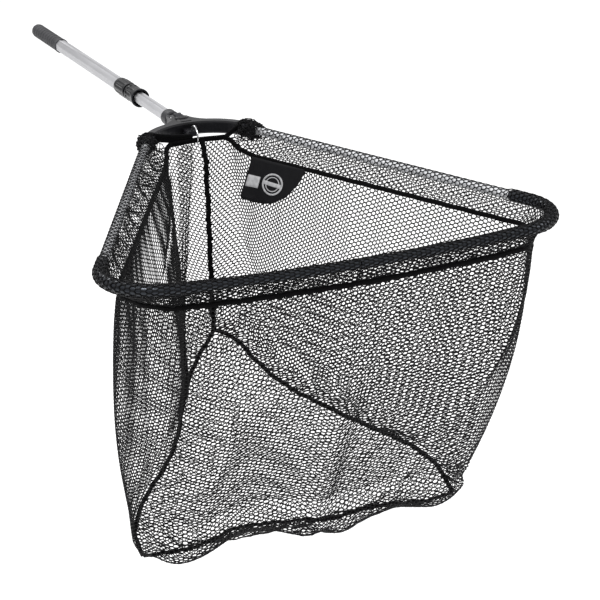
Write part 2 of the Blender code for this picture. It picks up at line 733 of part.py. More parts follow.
# ================= bag =================
BAG_TOP_FRONT = -0.0375
CLOTH = 0.0012
WALL_SPLIT_Y = 0.640  # the side panel hands over to the front panel at the first point past this
PANEL_GAP = 0.0012  # each panel stops this far from the handover
PANEL_ROWS, SIDE_COLUMNS, FRONT_COLUMNS = 9, 17, 21
BASE_ROWS, BASE_COLUMNS = 10, 13
SIDE_BULGE, FRONT_BULGE, BASE_SAG = 0.018, 0.012, 0.020
BASE_BACK = np.array([0.0, 0.036, -0.343])
BASE_CORNER = np.array([0.262, 0.428, -0.534])  # on the left; the right one is its mirror
TAPE_HALF, TAPE_THICK, TAPE_SAG = 0.0040, 0.0022, 0.004
TAPE_DROP = np.array([0, 0, -0.0035])  # of the base tapes below the base's corners
SEAM_Y, SEAM_TOP, SEAM_END = 0.0220, -0.0300, -0.3380
SEAM_HALF, SEAM_THICK = 0.0042, 0.0022


def panel(name, grid):
    """A sheet CLOTH thick from a grid of points."""
    grid = np.asarray(grid, float)
    m, n = grid.shape[:2]
    normal = np.cross(np.gradient(grid, axis=0), np.gradient(grid, axis=1))
    normal /= np.maximum(np.linalg.norm(normal, axis=2, keepdims=True), 1e-9)
    faces_of_sheet = (grid + normal * CLOTH / 2, grid - normal * CLOTH / 2)
    verts = np.concatenate([face.reshape(-1, 3) for face in faces_of_sheet])
    back = m * n  # first vertex of the second face
    faces = []
    for i in range(m - 1):
        for j in range(n - 1):
            a, b = i * n + j, (i + 1) * n + j
            # both faces share one diagonal, so a warped square keeps its thickness
            for tri in ((a, b, b + 1), (a, b + 1, a + 1)):
                faces += [tri, tuple(back + k for k in tri[::-1])]
    edge = [i * n for i in range(m)] + [(m - 1) * n + j for j in range(1, n)]
    edge += [i * n + n - 1 for i in range(m - 2, -1, -1)] + list(range(n - 2, 0, -1))
    for i, j in zip(edge, edge[1:] + edge[:1]):
        faces.append((i, back + i, back + j, j))
    to_head(add(name, verts, faces, MESH_CLOTH))


def lerp(a, b, t):
    return a + (b - a) * t


def resample(points, n):
    """n points evenly spaced along a line of points."""
    points = np.asarray(points, float)
    steps = np.linalg.norm(np.diff(points, axis=0), axis=1)
    s = np.concatenate([[0], np.cumsum(steps)])
    t = np.linspace(0, s[-1], n)
    return np.stack([np.interp(t, s, points[:, k]) for k in range(3)], -1)


def bag_rims():
    """Top edges of the left panel and of the front panel's left half, at z = 0."""
    half = half_outline(0.030)
    split = next(k for k, (point, _) in enumerate(half) if point[1] > WALL_SPLIT_Y)
    rim = []
    for point, normal in half:
        s = math.hypot(point[0] - HALF_SPREAD, point[1])
        lean = lean_on_arm(s) if s < ARM_LENGTH - 0.001 else lean_at(normal)
        rim.append(point - normal * lean)
    normal = half[split][1]
    gap = np.array([-normal[1], normal[0], 0]) * PANEL_GAP
    back_edge = [np.array([0.0065, 0.0200, 0]), np.array([0.045, 0.0220, 0])]
    return back_edge + rim[:split] + [rim[split] - gap], [rim[split] + gap] + rim[split + 1 :]


def build_side_panels(side_rim):
    top = resample([point + UP * BAG_TOP for point in side_rim], SIDE_COLUMNS)
    back = BASE_BACK + np.array([0.0065, 0.0, 0.004])
    corner = BASE_CORNER + np.array([0.003, 0.004, 0.006])
    columns = np.linspace(0, 1, SIDE_COLUMNS)
    bottom = np.array([lerp(back, corner, t**1.05) for t in columns])
    bulge = np.outer(np.sin(np.pi * columns), np.array([1.0, -0.45, 0.0]))
    for side, tag in SIDES:
        grid = []
        for t in np.linspace(0, 1, PANEL_ROWS):
            row = lerp(top, bottom, t) + bulge * (SIDE_BULGE * math.sin(math.pi * t))
            grid.append(row * np.array([side, 1, 1]))
        panel("bag_" + tag, grid)


def build_front_panel(front_rim):
    rim = front_rim + [point * MIRROR for point in front_rim[::-1][1:]]
    top = resample([point + UP * BAG_TOP_FRONT for point in rim], FRONT_COLUMNS)
    corner = BASE_CORNER + np.array([-0.004, 0.010, 0.006])
    columns = np.linspace(0, 1, FRONT_COLUMNS)
    bottom = np.array([lerp(corner, corner * MIRROR, t) for t in columns])
    grid = []
    for t in np.linspace(0, 1, PANEL_ROWS):
        row = lerp(top, bottom, t)
        row[:, 1] += FRONT_BULGE * math.sin(math.pi * t) * np.sin(np.pi * columns)
        grid.append(row)
    panel("bag_front", grid)


def build_base():
    """A triangle between the three tapes, sagging in the middle."""
    back = BASE_BACK + np.array([0.0060, 0.012, -0.006])
    corner = BASE_CORNER + np.array([-0.010, -0.008, 0.002])
    columns = np.linspace(0, 1, BASE_COLUMNS)
    grid = []
    for r in range(BASE_ROWS):
        t = r / (BASE_ROWS - 1)
        edge = lerp(back, corner, t)
        row = np.array([lerp(edge, edge * MIRROR, u) for u in columns])
        row[:, 2] -= BASE_SAG * math.sin(math.pi * t**1.3) * np.sin(np.pi * columns)
        grid.append(row)
    panel("bag_base", grid)


def base_tape(name, start, end):
    axis = (end - start) / np.linalg.norm(end - start)
    width = np.cross(axis, UP)
    width /= np.linalg.norm(width)
    thick = np.cross(width, axis) * TAPE_THICK / 2
    width = width * TAPE_HALF
    rings = []
    for t in np.linspace(0, 1, 9):
        c = lerp(start, end, t) - UP * (TAPE_SAG * math.sin(math.pi * t))
        rings.append([c + width + thick, c - width + thick, c - width - thick, c + width - thick])
    to_head(loft(name, rings, TAPE))


def build_tapes():
    back = BASE_BACK + np.array([0.0085, 0.006, 0]) + TAPE_DROP
    corner = BASE_CORNER + np.array([-0.001, -0.004, 0]) + TAPE_DROP
    for side, tag in SIDES:
        flip = np.array([side, 1, 1])
        base_tape("tape_base_" + tag, back * flip, corner * flip)
    front = BASE_CORNER + np.array([-0.008, 0.006, 0]) + TAPE_DROP
    base_tape("tape_base_front", front, front * MIRROR)


def build_back_seam():
    half, thick = SEAM_HALF, SEAM_THICK / 2
    rings = []
    for z in (SEAM_TOP, -0.12, -0.22, SEAM_END):
        y = SEAM_Y + 0.006 * max(0, (-z - 0.1) / 0.24)
        corners = ((half, thick), (-half, thick), (-half, -thick), (half, -thick))
        rings.append([(x, y + offset, z) for x, offset in corners])
    to_head(loft("seam_back", rings, TAPE))


# Cloth tab inside the right-hand hem: distance along the arm, drop below the bag's top
LABEL_OUTLINE = (
    (0.047, 0.0), (0.167, 0.0), (0.160, 0.0220), (0.144, 0.0465), (0.122, 0.0600),
    (0.098, 0.0672), (0.070, 0.0700), (0.044, 0.0670), (0.045, 0.0300),
)
LABEL_FACES = (0.0095, 0.0107)  # distances of its two faces inwards from the hem


def build_label():
    pivot, along, across = arm_axes(-1)
    rings = []
    for offset in LABEL_FACES:
        rings.append([
            pivot + along * s
            - across * (lean_on_arm(s) + offset + 0.5 * drop)
            + UP * (BAG_TOP - drop)
            for s, drop in LABEL_OUTLINE
        ])
    to_head(loft("label", rings, TAPE))


clear_scene()

build_grip()
build_tubes()
build_lock_body()
build_lock_nut()
build_lock_collet()
build_socket()

build_yoke()
build_push_button()
build_hinge_pin()
build_hem_ring()

for arm_side, arm_tag in SIDES:
    build_arm(arm_side, arm_tag)
    build_arm_eye(arm_side, arm_tag)
    build_pivot_pin(arm_side, arm_tag)
    build_rivet(arm_side, arm_tag)
    build_arm_sleeve(arm_side, arm_tag)
build_front_tube()
build_front_sleeve()
build_chord_hem()

left_rim, front_half_rim = bag_rims()
build_side_panels(left_rim)
build_front_panel(front_half_rim)
build_base()
build_tapes()
build_back_seam()
build_label()
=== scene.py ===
"""Looks for a folding landing net: knotless mesh bag and sleeves, tapes, front tube, cloth tab, and
the materials of the CAD pieces.

Lengths in metres. Row frame: the handle lies along Y, the head opens towards +Y, left is +X and
up is +Z. Head coordinates have their origin midway between the arm pivots and are tilted about X.
Pieces that come in pairs are shaped as left-hand ones, then mirrored.
"""

import math
import random

import bpy
import numpy as np
from mathutils import Matrix, Vector


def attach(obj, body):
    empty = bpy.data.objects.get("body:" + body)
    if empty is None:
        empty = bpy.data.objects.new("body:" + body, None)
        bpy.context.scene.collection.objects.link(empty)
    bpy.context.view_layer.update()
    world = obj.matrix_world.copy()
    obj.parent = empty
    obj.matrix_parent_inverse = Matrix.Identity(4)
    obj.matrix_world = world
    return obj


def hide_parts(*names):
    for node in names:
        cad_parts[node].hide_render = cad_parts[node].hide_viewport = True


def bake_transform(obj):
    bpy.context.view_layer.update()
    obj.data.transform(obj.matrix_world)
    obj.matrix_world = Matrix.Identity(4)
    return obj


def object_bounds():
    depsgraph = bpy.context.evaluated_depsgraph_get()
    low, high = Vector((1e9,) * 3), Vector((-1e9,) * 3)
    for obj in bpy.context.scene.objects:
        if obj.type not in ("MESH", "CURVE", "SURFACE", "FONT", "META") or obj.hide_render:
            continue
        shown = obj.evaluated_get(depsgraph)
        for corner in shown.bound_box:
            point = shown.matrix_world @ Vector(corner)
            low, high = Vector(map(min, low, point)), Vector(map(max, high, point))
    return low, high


random.seed(7)
RNG = np.random.default_rng(7)

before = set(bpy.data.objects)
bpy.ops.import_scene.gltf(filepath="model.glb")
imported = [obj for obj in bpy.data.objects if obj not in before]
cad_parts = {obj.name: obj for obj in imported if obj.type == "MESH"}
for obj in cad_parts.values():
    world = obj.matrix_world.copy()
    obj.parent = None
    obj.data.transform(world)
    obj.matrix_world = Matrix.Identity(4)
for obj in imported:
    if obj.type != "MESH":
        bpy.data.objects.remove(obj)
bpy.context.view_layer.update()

# ---- sizes shared with the CAD frame ----
HEAD_TILT = math.radians(-2.6)
TILT_COS, TILT_SIN = math.cos(HEAD_TILT), math.sin(HEAD_TILT)
HEAD_Y, HEAD_Z = 1.037, 0.001
HALF_SPREAD = 0.0915  # centre plane to an arm's pivot
ARM_DEGREES = 24.3  # each arm's turn away from the centre plane
ARM_ANGLE = math.radians(ARM_DEGREES)
ARM_LENGTH, CORNER_R, FRONT_R = 0.6116, 0.0877, 1.9315
ARM_R, TUBE_R, TUBE_END_R = 0.0068, 0.0070, 0.0094
TUBE_START = 0.575  # where the front tube begins along the arm
SLEEVE_ARM, SLEEVE_FRONT = 0.0285, 0.0270  # sleeve depths
HEM_DROP = 0.0038

# How far the hem is drawn inside the frame: along the arm, then by degrees turned
LEAN_BACK, LEAN_ARM = 0.0340, 0.0220
LEAN_DEGREES = (-ARM_DEGREES, 25.0, 60.0, 84.0, 90.0)
LEAN_DEPTHS = (LEAN_ARM, 0.0310, 0.0200, 0.0060, 0.0040)

# ---- the bag ----
BASE_BACK = np.array([0.0, 0.036, -0.343])
BASE_CORNER = np.array([0.262, 0.428, -0.534])
SIDE_COLUMNS, FRONT_COLUMNS, WALL_ROWS = 46, 22, 36  # squares on one side, half the front, down
HALF_COLUMNS = SIDE_COLUMNS + FRONT_COLUMNS
BASE_ROWS, BASE_HALF = SIDE_COLUMNS + 1, 22  # points front to back, squares from centre to side
REFINE = 3  # finer steps per square when netting is laid on
FOLD_COLUMN = 0.16  # the back fold, as a fraction of the side wall
HEM_START = 0.034  # where the hem leaves the chord, along the arm

# ---- netting ----
CELL = (0.0150, 0.0076)  # diagonals of a mesh opening, wide along the rim
JOINT = 0.0046  # length of a knotless joint
STRAND, STRAND_JOINT = 0.00088, 0.00134  # half widths of a strand and of a joint

SIDES = ((1, "left"), (-1, "right"))


# ======================================================================= materials
class Shader:
    """A node tree in the making, with a method for each kind of node the looks use."""

    def __init__(self, owner, surface="Principled BSDF"):
        owner.use_nodes = True
        self.owner = owner
        self.tree = owner.node_tree
        self.surface = self.tree.nodes[surface].inputs

    def fill(self, inputs, values):
        for key, value in values.items():
            if isinstance(value, bpy.types.NodeSocket):
                self.tree.links.new(value, inputs[key])
            else:
                inputs[key].default_value = value

    def set(self, values):
        self.fill(self.surface, values)

    def add(self, kind, values, **settings):
        node = self.tree.nodes.new("ShaderNode" + kind)
        for key, value in settings.items():
            setattr(node, key, value)
        self.fill(node.inputs, values)
        return node

    def coords(self, scale=(1, 1, 1)):
        place_ = self.add("TexCoord", {}).outputs["Object"]
        return self.add("Mapping", {"Scale": scale, "Vector": place_}).outputs["Vector"]

    def axis(self, kind, name):
        place_ = self.add("TexCoord", {}).outputs[kind]
        return self.add("SeparateXYZ", {0: place_}).outputs[name]

    def noise(self, vector, scale, detail):
        values = {"Scale": scale, "Detail": detail, "Roughness": 0.55, "Vector": vector}
        return self.add("TexNoise", values).outputs["Fac"]

    def wave(self, vector, scale, distortion, direction="X"):
        values = {"Scale": scale, "Distortion": distortion, "Vector": vector}
        return self.add("TexWave", values, bands_direction=direction).outputs["Fac"]

    def ramp(self, fac, stops):
        node = self.add("ValToRGB", {"Fac": fac})
        elements = node.color_ramp.elements
        while len(elements) < len(stops):
            elements.new(0.5)
        for element, (position, colour) in zip(elements, stops):
            element.position = position
            element.color = (*colour, 1)
        return node.outputs["Color"]

    def map_range(self, value, low, high, from_low=0.0, from_high=1.0):
        values = {"From Min": from_low, "From Max": from_high, "To Min": low, "To Max": high}
        return self.add("MapRange", {**values, "Value": value}).outputs["Result"]

    def math(self, operation, *values):
        return self.add("Math", dict(enumerate(values)), operation=operation).outputs[0]

    def mix(self, fac, first, second):
        values = {"Factor": fac, "A": first, "B": (*second, 1)}
        return self.add("Mix", values, data_type="RGBA").outputs["Result"]

    def shares(self, first, share, second):
        """Adds two values, the first by its share and the second by what is left."""
        first = self.math("MULTIPLY", first, share)
        return self.math("ADD", first, self.math("MULTIPLY", second, 1 - share))

    def mottle(self, vector, scale, detail, dark, light, spread=(0.3, 0.7)):
        fac = self.noise(vector, scale, detail)
        return self.ramp(fac, [(spread[0], dark), (spread[1], light)])

    def noise_range(self, vector, scale, detail, low, high):
        return self.map_range(self.noise(vector, scale, detail), low, high)

    def painted_edge_highlight(self, base, edge_highlight_colour):
        """Lightens convex edges a little, from pointiness: a painted highlight on the edges."""
        point = self.add("NewGeometry", {}).outputs["Pointiness"]
        return self.mix(self.map_range(point, 0.0, 1.0, from_low=0.53, from_high=0.60), base, edge_highlight_colour)

    def bump(self, height, strength, distance):
        values = {"Strength": strength, "Distance": distance, "Height": height}
        self.set({"Normal": self.add("Bump", values).outputs["Normal"]})


def material_shader(name):
    return Shader(bpy.data.materials.new(name))


def yarn():
    """Black coated yarn with a faint sheen."""
    s = material_shader("mesh_yarn")
    v = s.coords()
    dark, light = (0.0018, 0.0018, 0.0022), (0.0060, 0.0060, 0.0070)
    s.set({
        "Base Color": s.mottle(v, 35.0, 4, dark, light),
        "Roughness": s.noise_range(v, 420.0, 3, low=0.42, high=0.66),
        "Specular IOR Level": 0.12,
        "Sheen Weight": 0.02,
    })
    s.bump(s.noise(v, 1500.0, 2), strength=0.5, distance=0.0003)
    return s.owner


def binding_tape():
    """Woven tape: two crossing waves."""
    s = material_shader("binding_tape")
    v = s.coords()
    diagonal = s.wave(v, scale=260.0, distortion=1.2, direction="DIAGONAL")
    weave = s.math("MULTIPLY", diagonal, s.wave(v, scale=310.0, distortion=0.8, direction="Y"))
    shade = s.shares(weave, 0.6, s.noise(v, 30.0, 4))
    # the plain roughness stays on the socket beneath the woven one
    s.set({"Roughness": 0.9})
    s.set({
        "Base Color": s.ramp(shade, [(0.2, (0.0010, 0.0010, 0.0012)), (0.8, (0.0036, 0.0036, 0.0042))]),
        "Roughness": s.map_range(weave, 0.8, 0.95),
        "Sheen Weight": 0.01,
        "Specular IOR Level": 0.07,
    })
    s.bump(weave, strength=0.7, distance=0.0006)
    return s.owner


def front_tube_black():
    s = material_shader("front_tube_black")
    v = s.coords()
    s.set({
        "Base Color": s.mottle(v, 22.0, 4, (0.002, 0.002, 0.0026), (0.006, 0.006, 0.0075)),
        "Roughness": s.noise_range(v, 90.0, 3, low=0.18, high=0.28),
        "Specular Tint": (0.80, 0.88, 1.0, 1),
    })
    s.bump(s.noise(v, 700.0, 2), strength=0.3, distance=0.0003)
    return s.owner


def metal(name, dark, light, rough, scale, stretch=(1, 1, 1), anisotropy=0.5):
    """Metal with streaks; a small stretch factor draws them out along that axis."""
    s = material_shader(name)
    streak = s.noise(s.coords(stretch), scale, 3)
    cloud = s.noise(s.coords(), 9.0, 3)
    s.set({
        "Base Color": s.ramp(s.shares(streak, 0.6, cloud), [(0.3, dark), (0.7, light)]),
        "Metallic": 1.0,
        "Roughness": s.map_range(streak, rough - 0.06, rough + 0.10),
        "Anisotropic": anisotropy,
    })
    s.bump(streak, strength=0.12, distance=0.0002)
    return s.owner


def plastic(name, dark, light, rough, edge_highlight_colour, specular):
    """Moulded plastic, finely grained, with a painted highlight on its edges."""
    s = material_shader(name)
    v = s.coords()
    s.set({
        # convex edges are lightened towards the given edge colour: a painted highlight
        "Base Color": s.painted_edge_highlight(s.mottle(v, 14.0, 3, dark, light), edge_highlight_colour),
        "Roughness": s.noise_range(v, 60.0, 5, rough - 0.08, rough + 0.10),
        "Specular IOR Level": specular,
    })
    s.bump(s.noise(v, 900.0, 2), strength=0.25, distance=0.0003)
    return s.owner


def grip_rubber():
    """Rubber with fine ridges that follow one another along Y."""
    rib_pitch = 0.0042
    s = material_shader("grip_rubber")
    v = s.coords()
    grain = s.noise(v, 500.0, 3)
    colour = s.mottle(v, 26.0, 4, (0.018, 0.018, 0.021), (0.036, 0.036, 0.041))
    s.set({
        # convex edges are lightened to a paler grey: a painted highlight
        "Base Color": s.painted_edge_highlight(colour, (0.06, 0.06, 0.066)),
        "Roughness": s.map_range(grain, 0.55, 0.78),
    })
    turns = s.math("MULTIPLY", s.axis("Object", "Y"), 2 * math.pi / rib_pitch)
    ribs = s.map_range(s.math("SINE", turns), 0.0, 1.0, from_low=-1.0, from_high=1.0)
    height = s.math("ADD", ribs, s.math("MULTIPLY", grain, 0.5))
    s.bump(height, strength=0.9, distance=0.0006)
    return s.owner


def tab_cloth():
    s = material_shader("tab_cloth")
    v = s.coords()
    weave = s.wave(v, scale=420.0, distortion=0.6)
    shade = s.shares(weave, 0.4, s.noise(v, 40.0, 3))
    s.set({
        "Base Color": s.ramp(shade, [(0.25, (0.0022, 0.0022, 0.0030)), (0.8, (0.0065, 0.0065, 0.0080))]),
        "Roughness": 0.62,
        "Specular IOR Level": 0.12,
    })
    s.bump(weave, strength=0.4, distance=0.0004)
    return s.owner


def tab_print():
    s = material_shader("tab_print")
    v = s.coords()
    pale, paler = (0.30, 0.30, 0.31), (0.48, 0.48, 0.49)
    s.set({
        "Base Color": s.mottle(v, 160.0, 4, pale, paler, spread=(0.25, 0.7)),
        "Roughness": s.noise_range(v, 300.0, 2, low=0.5, high=0.7),
    })
    return s.owner


MESH = yarn()
TAPE = binding_tape()
TUBE = front_tube_black()
ALUMINIUM = metal(
    "satin_anodised", (0.48, 0.48, 0.495), (0.60, 0.60, 0.615),
    rough=0.40, scale=260.0, stretch=(1, 0.02, 1),
)
ARM_ALUMINIUM = metal(
    "arm_aluminium", (0.80, 0.81, 0.83), (0.92, 0.93, 0.95), rough=0.58, scale=70.0, anisotropy=0.3
)
STEEL = metal("bright_steel", (0.55, 0.55, 0.56), (0.80, 0.80, 0.81), rough=0.18, scale=120.0)
# the last colour given to each plastic is the painted highlight on its edges
BLACK = plastic(
    "moulded_black", (0.0025, 0.0025, 0.003), (0.007, 0.007, 0.008),
    rough=0.24, edge_highlight_colour=(0.018, 0.018, 0.021), specular=0.18,
)
GREY = plastic(
    "moulded_dark_grey", (0.009, 0.009, 0.010), (0.017, 0.017, 0.019),
    rough=0.42, edge_highlight_colour=(0.045, 0.045, 0.05), specular=0.22,
)
BUTTON = plastic(
    "button_black", (0.004, 0.004, 0.005), (0.010, 0.010, 0.011),
    rough=0.22, edge_highlight_colour=(0.03, 0.03, 0.034), specular=0.26,
)
GRIP = grip_rubber()
CLOTH = tab_cloth()
PRINT = tab_print()


# ======================================================================= array helpers
def to_row(points):
    """Head coordinates to the row frame."""
    points = np.asarray(points, float)
    x, y, z = points[..., 0], points[..., 1], points[..., 2]
    return np.stack([x, HEAD_Y + TILT_COS * y - TILT_SIN * z, HEAD_Z + TILT_SIN * y + TILT_COS * z], -1)


def to_head(points):
    """The row frame to head coordinates."""
    y, z = points[..., 1] - HEAD_Y, points[..., 2] - HEAD_Z
    return np.stack([points[..., 0], TILT_COS * y + TILT_SIN * z, -TILT_SIN * y + TILT_COS * z], -1)


def sided(points, side):
    """Mirrors points across the centre plane if side is -1."""
    return points * np.array([side, 1, 1])


def unit(vectors):
    return vectors / np.maximum(np.linalg.norm(vectors, axis=-1, keepdims=True), 1e-9)


def directions(line):
    return unit(np.gradient(line, axis=0))


def normals(grid):
    return unit(np.cross(np.gradient(grid, axis=0), np.gradient(grid, axis=1)))


def smoothstep(x, start, stop):
    t = np.clip((x - start) / (stop - start), 0, 1)
    return t * t * (3 - 2 * t)


def distance_along(points, axis=0):
    """Running length of a line, or of every line of a grid along one axis."""
    total = np.cumsum(np.linalg.norm(np.diff(points, axis=axis), axis=-1), axis=axis)
    return np.concatenate([np.zeros_like(np.take(total, [0], axis)), total], axis)


def evenly(points, fractions):
    """Points at the fractions of a polyline's length."""
    points = np.asarray(points, float)
    run = distance_along(points)
    at = np.asarray(fractions) * run[-1]
    return np.stack([np.interp(at, run, points[:, k]) for k in range(3)], -1)


def rounded(points, times):
    points = np.array(points, float)
    for _ in range(times):
        points[1:-1] = (points[:-2] + 2 * points[1:-1] + points[2:]) / 4
    return points


# ======================================================================= mesh helpers
def add_object(mesh, material):
    mesh.validate()
    mesh.polygons.foreach_set("use_smooth", np.full(len(mesh.polygons), True))
    ob = bpy.data.objects.new(mesh.name, mesh)
    bpy.context.scene.collection.objects.link(ob)
    mesh.materials.append(material)
    return ob


def quad_object(name, verts, faces, material):
    mesh = bpy.data.meshes.new(name)
    verts = np.asarray(verts, np.float32)
    faces = np.asarray(faces, np.int32)
    mesh.vertices.add(len(verts))
    mesh.vertices.foreach_set("co", verts.ravel())
    mesh.loops.add(faces.size)
    mesh.loops.foreach_set("vertex_index", faces.ravel())
    mesh.polygons.add(len(faces))
    mesh.polygons.foreach_set("loop_start", np.arange(len(faces), dtype=np.int32) * 4)
    mesh.polygons.foreach_set("loop_total", np.full(len(faces), 4, np.int32))
    mesh.update(calc_edges=True)
    return add_object(mesh, material)


def add_planar_uv(mesh, verts):
    """A planar layout on the two longest axes, so that exporting need not unwrap every strand."""
    verts = np.asarray(verts, np.float32)
    layer = mesh.uv_layers.new(name="OFBake")
    index = np.zeros(len(mesh.loops), np.int32)
    mesh.loops.foreach_get("vertex_index", index)
    low, high = verts.min(0), verts.max(0)
    unit_box = (verts - low) / np.maximum(high - low, 1e-6)
    longest = np.argsort(-(high - low))[:2]
    layer.data.foreach_set("uv", unit_box[index][:, longest].astype(np.float32).ravel())


def loft(name, rings, material):
    """A solid through closed rings of points, closed by a fan of triangles at each end."""
    rings = np.asarray(rings, float)
    count, around = rings.shape[:2]
    verts = np.concatenate([rings.reshape(-1, 3), rings[0].mean(0)[None], rings[-1].mean(0)[None]])
    j, k = np.meshgrid(np.arange(count - 1), np.arange(around), indexing="ij")
    a, b = j * around + k, j * around + (k + 1) % around
    quads = np.stack([a, b, b + around, a + around], -1).reshape(-1, 4)
    first_hub, last_hub = count * around, count * around + 1
    k = np.arange(around)
    after = (k + 1) % around
    last = (count - 1) * around
    start = np.stack([np.full(around, first_hub), after, k], -1)
    end = np.stack([np.full(around, last_hub), last + k, last + after], -1)
    mesh = bpy.data.meshes.new(name)
    faces = [tuple(face) for part in (quads, start, end) for face in part.tolist()]
    mesh.from_pydata(verts.tolist(), [], faces)
    return add_object(mesh, material)


def register(nodes):
    if nodes:
        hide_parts(*nodes)


def place(ob, side, nodes=()):
    """Takes a left-hand piece in head coordinates to its side of the row frame, mirrored if need be, and
    hides the CAD pieces it replaces."""
    mesh = ob.data
    points = np.zeros(len(mesh.vertices) * 3)
    mesh.vertices.foreach_get("co", points)
    points = points.reshape(-1, 3)
    if side < 0:
        points[:, 0] *= -1
        mesh.flip_normals()
    mesh.vertices.foreach_set("co", to_row(points).astype(np.float32).ravel())
    mesh.update()
    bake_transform(ob)
    register(nodes)


def once(side, node):
    """A CAD piece that spans both sides is replaced once, by the left-hand object."""
    return [node] if side > 0 else []


# ======================================================================= the head's outline
# Left half, from the pivot along the straight arm, round the corner, to the front's centre
PIVOT = np.array([HALF_SPREAD, 0.0, 0.0])
ARM_DIR = np.array([math.sin(ARM_ANGLE), math.cos(ARM_ANGLE), 0.0])
ARM_OUT = np.array([math.cos(ARM_ANGLE), -math.sin(ARM_ANGLE), 0.0])
CORNER_CENTRE = PIVOT + ARM_DIR * ARM_LENGTH - ARM_OUT * CORNER_R
FRONT_CENTRE = np.array(
    [0, CORNER_CENTRE[1] - math.sqrt((FRONT_R - CORNER_R) ** 2 - CORNER_CENTRE[0] ** 2), 0]
)
TURN_START = math.atan2(ARM_OUT[1], ARM_OUT[0])
TURN_STOP = math.atan2(CORNER_CENTRE[1] - FRONT_CENTRE[1], CORNER_CENTRE[0])
CORNER_LENGTH = CORNER_R * (TURN_STOP - TURN_START)
CORNER_STOP = ARM_LENGTH + CORNER_LENGTH
HALF_LENGTH = CORNER_STOP + FRONT_R * (math.pi / 2 - TURN_STOP)
RIM_SPLIT = ARM_LENGTH + CORNER_LENGTH * 0.55  # the rim point above the base's corner


def turn_at(along):
    """Angle of the outward normal past the arm."""
    corner = TURN_START + (along - ARM_LENGTH) / CORNER_R
    front = TURN_STOP + (along - ARM_LENGTH - CORNER_LENGTH) / FRONT_R
    return np.where(along <= CORNER_STOP, corner, front)


def frame_at(along):
    """Points and outward normals on the outline, along metres from the pivot."""
    along = np.atleast_1d(np.asarray(along, float))
    points = PIVOT + ARM_DIR * along[:, None]
    outward = np.repeat(ARM_OUT[None], len(along), 0)
    turn = turn_at(along)
    radial = np.stack([np.cos(turn), np.sin(turn), 0 * turn], -1)
    bent, front = along > ARM_LENGTH, along > CORNER_STOP
    points[bent] = (CORNER_CENTRE + CORNER_R * radial)[bent]
    points[front] = (FRONT_CENTRE + FRONT_R * radial)[front]
    outward[bent] = radial[bent]
    return points, outward


def hem_depth(along):
    """How far the hem's middle hangs below the frame."""
    front = smoothstep(along, ARM_LENGTH - 0.06, CORNER_STOP)
    return SLEEVE_ARM + HEM_DROP + (SLEEVE_FRONT - SLEEVE_ARM) * front


def lean(along):
    """How far inside the frame the hem runs."""
    along = np.atleast_1d(np.asarray(along, float))
    arm = LEAN_BACK + (LEAN_ARM - LEAN_BACK) * np.clip(along / ARM_LENGTH, -0.1, 1)
    bent = np.interp(np.degrees(turn_at(along)), LEAN_DEGREES, LEAN_DEPTHS)
    return np.where(along <= ARM_LENGTH, arm, bent)


def hem_point(along):
    points, outward = frame_at(along)
    points = points - outward * lean(along)[:, None]
    points[:, 2] = -hem_depth(along)
    return points


# ======================================================================= the bag's edges
# Left half of the chord through the ring, x, y, z
CHORD = np.array([
    [0.0, -0.0088, -0.0098], [0.030, -0.0078, -0.0102], [0.050, -0.0060, -0.0110],
    [0.0595, 0.0015, -0.0165], [0.0650, 0.0200, -0.0270],
])

# Bow of the base's side tapes: fraction from back to corner, offset in x, offset in z
BASE_BOW_LEFT = [
    (0, 0, 0), (0.06, 0.008, 0), (0.125, 0.017, 0), (0.25, 0.021, 0), (0.375, 0.016, 0),
    (0.5, 0.007, 0), (0.625, 0.013, 0), (0.75, 0.034, 0.002), (0.875, 0.036, 0.004),
    (0.95, 0.027, 0.006), (1, 0.006, -0.003),
]
BASE_BOW_RIGHT = [
    (0, 0, 0), (0.04, 0.004, 0.008), (0.09, 0.004, 0.009), (0.16, 0, 0.000), (0.25, 0, -0.012),
    (0.375, 0, -0.010), (0.5, 0, 0.002), (0.625, 0, 0.013), (0.75, 0.002, 0.027),
    (0.875, 0.005, 0.036), (0.95, 0.013, 0.022), (1, 0.008, -0.005),
]

# Lift of the base's front tape: fraction from left to right, offset in z
FRONT_LIFT = np.array([
    (0, -0.003), (0.136, -0.006), (0.21, -0.002), (0.283, 0.010), (0.38, 0.009), (0.517, 0.003),
    (0.61, -0.009), (0.68, -0.003), (0.787, -0.002), (0.925, -0.009), (1, -0.005),
])


def rim_line():
    """The bag's top edge: chord through the ring, hem under the arm, part way round the corner."""
    chord = evenly(CHORD, np.linspace(0, 1, 18))
    return rounded(np.concatenate([chord, hem_point(np.linspace(HEM_START, RIM_SPLIT, 60))]), 3)


def base_side(side):
    """The tape from the base's back point to its front corner, as if on the left."""
    bow = np.array(BASE_BOW_LEFT if side > 0 else BASE_BOW_RIGHT)
    t = np.linspace(0, 1, 81)
    points = BASE_BACK + (BASE_CORNER - BASE_BACK) * t[:, None]
    points[:, 0] += np.interp(t, bow[:, 0], bow[:, 1])
    points[:, 2] += np.interp(t, bow[:, 0], bow[:, 2])
    return rounded(points, 12)


def base_front():
    """The front tape, left corner to right corner, lifting and dipping as cloth does."""
    t = np.linspace(0, 1, 121)
    left_end, right_end = base_side(1)[-1], sided(base_side(-1)[-1], -1)
    points = left_end + (right_end - left_end) * t[:, None]
    points[:, 2] = BASE_CORNER[2] + np.interp(t, FRONT_LIFT[:, 0], FRONT_LIFT[:, 1])
    points[:, 1] += 0.004 * np.sin(t * math.pi * 5)
    points[0, 2], points[-1, 2] = left_end[2], right_end[2]
    return rounded(points, 6)


FRONT_TAPE = base_front()


def front_half(side):
    """Half the front tape, corner to centre, as if on the left."""
    return sided(FRONT_TAPE[::side][:61], side)


# ======================================================================= the wall before draping
SEAM_DEPTHS = [0, 0.10, 0.3, 0.6, 0.9, 1.0]  # the back seam's y by fraction down the wall
SEAM_Y = [-0.0088, 0.010, 0.020, 0.025, 0.028, 0.036]


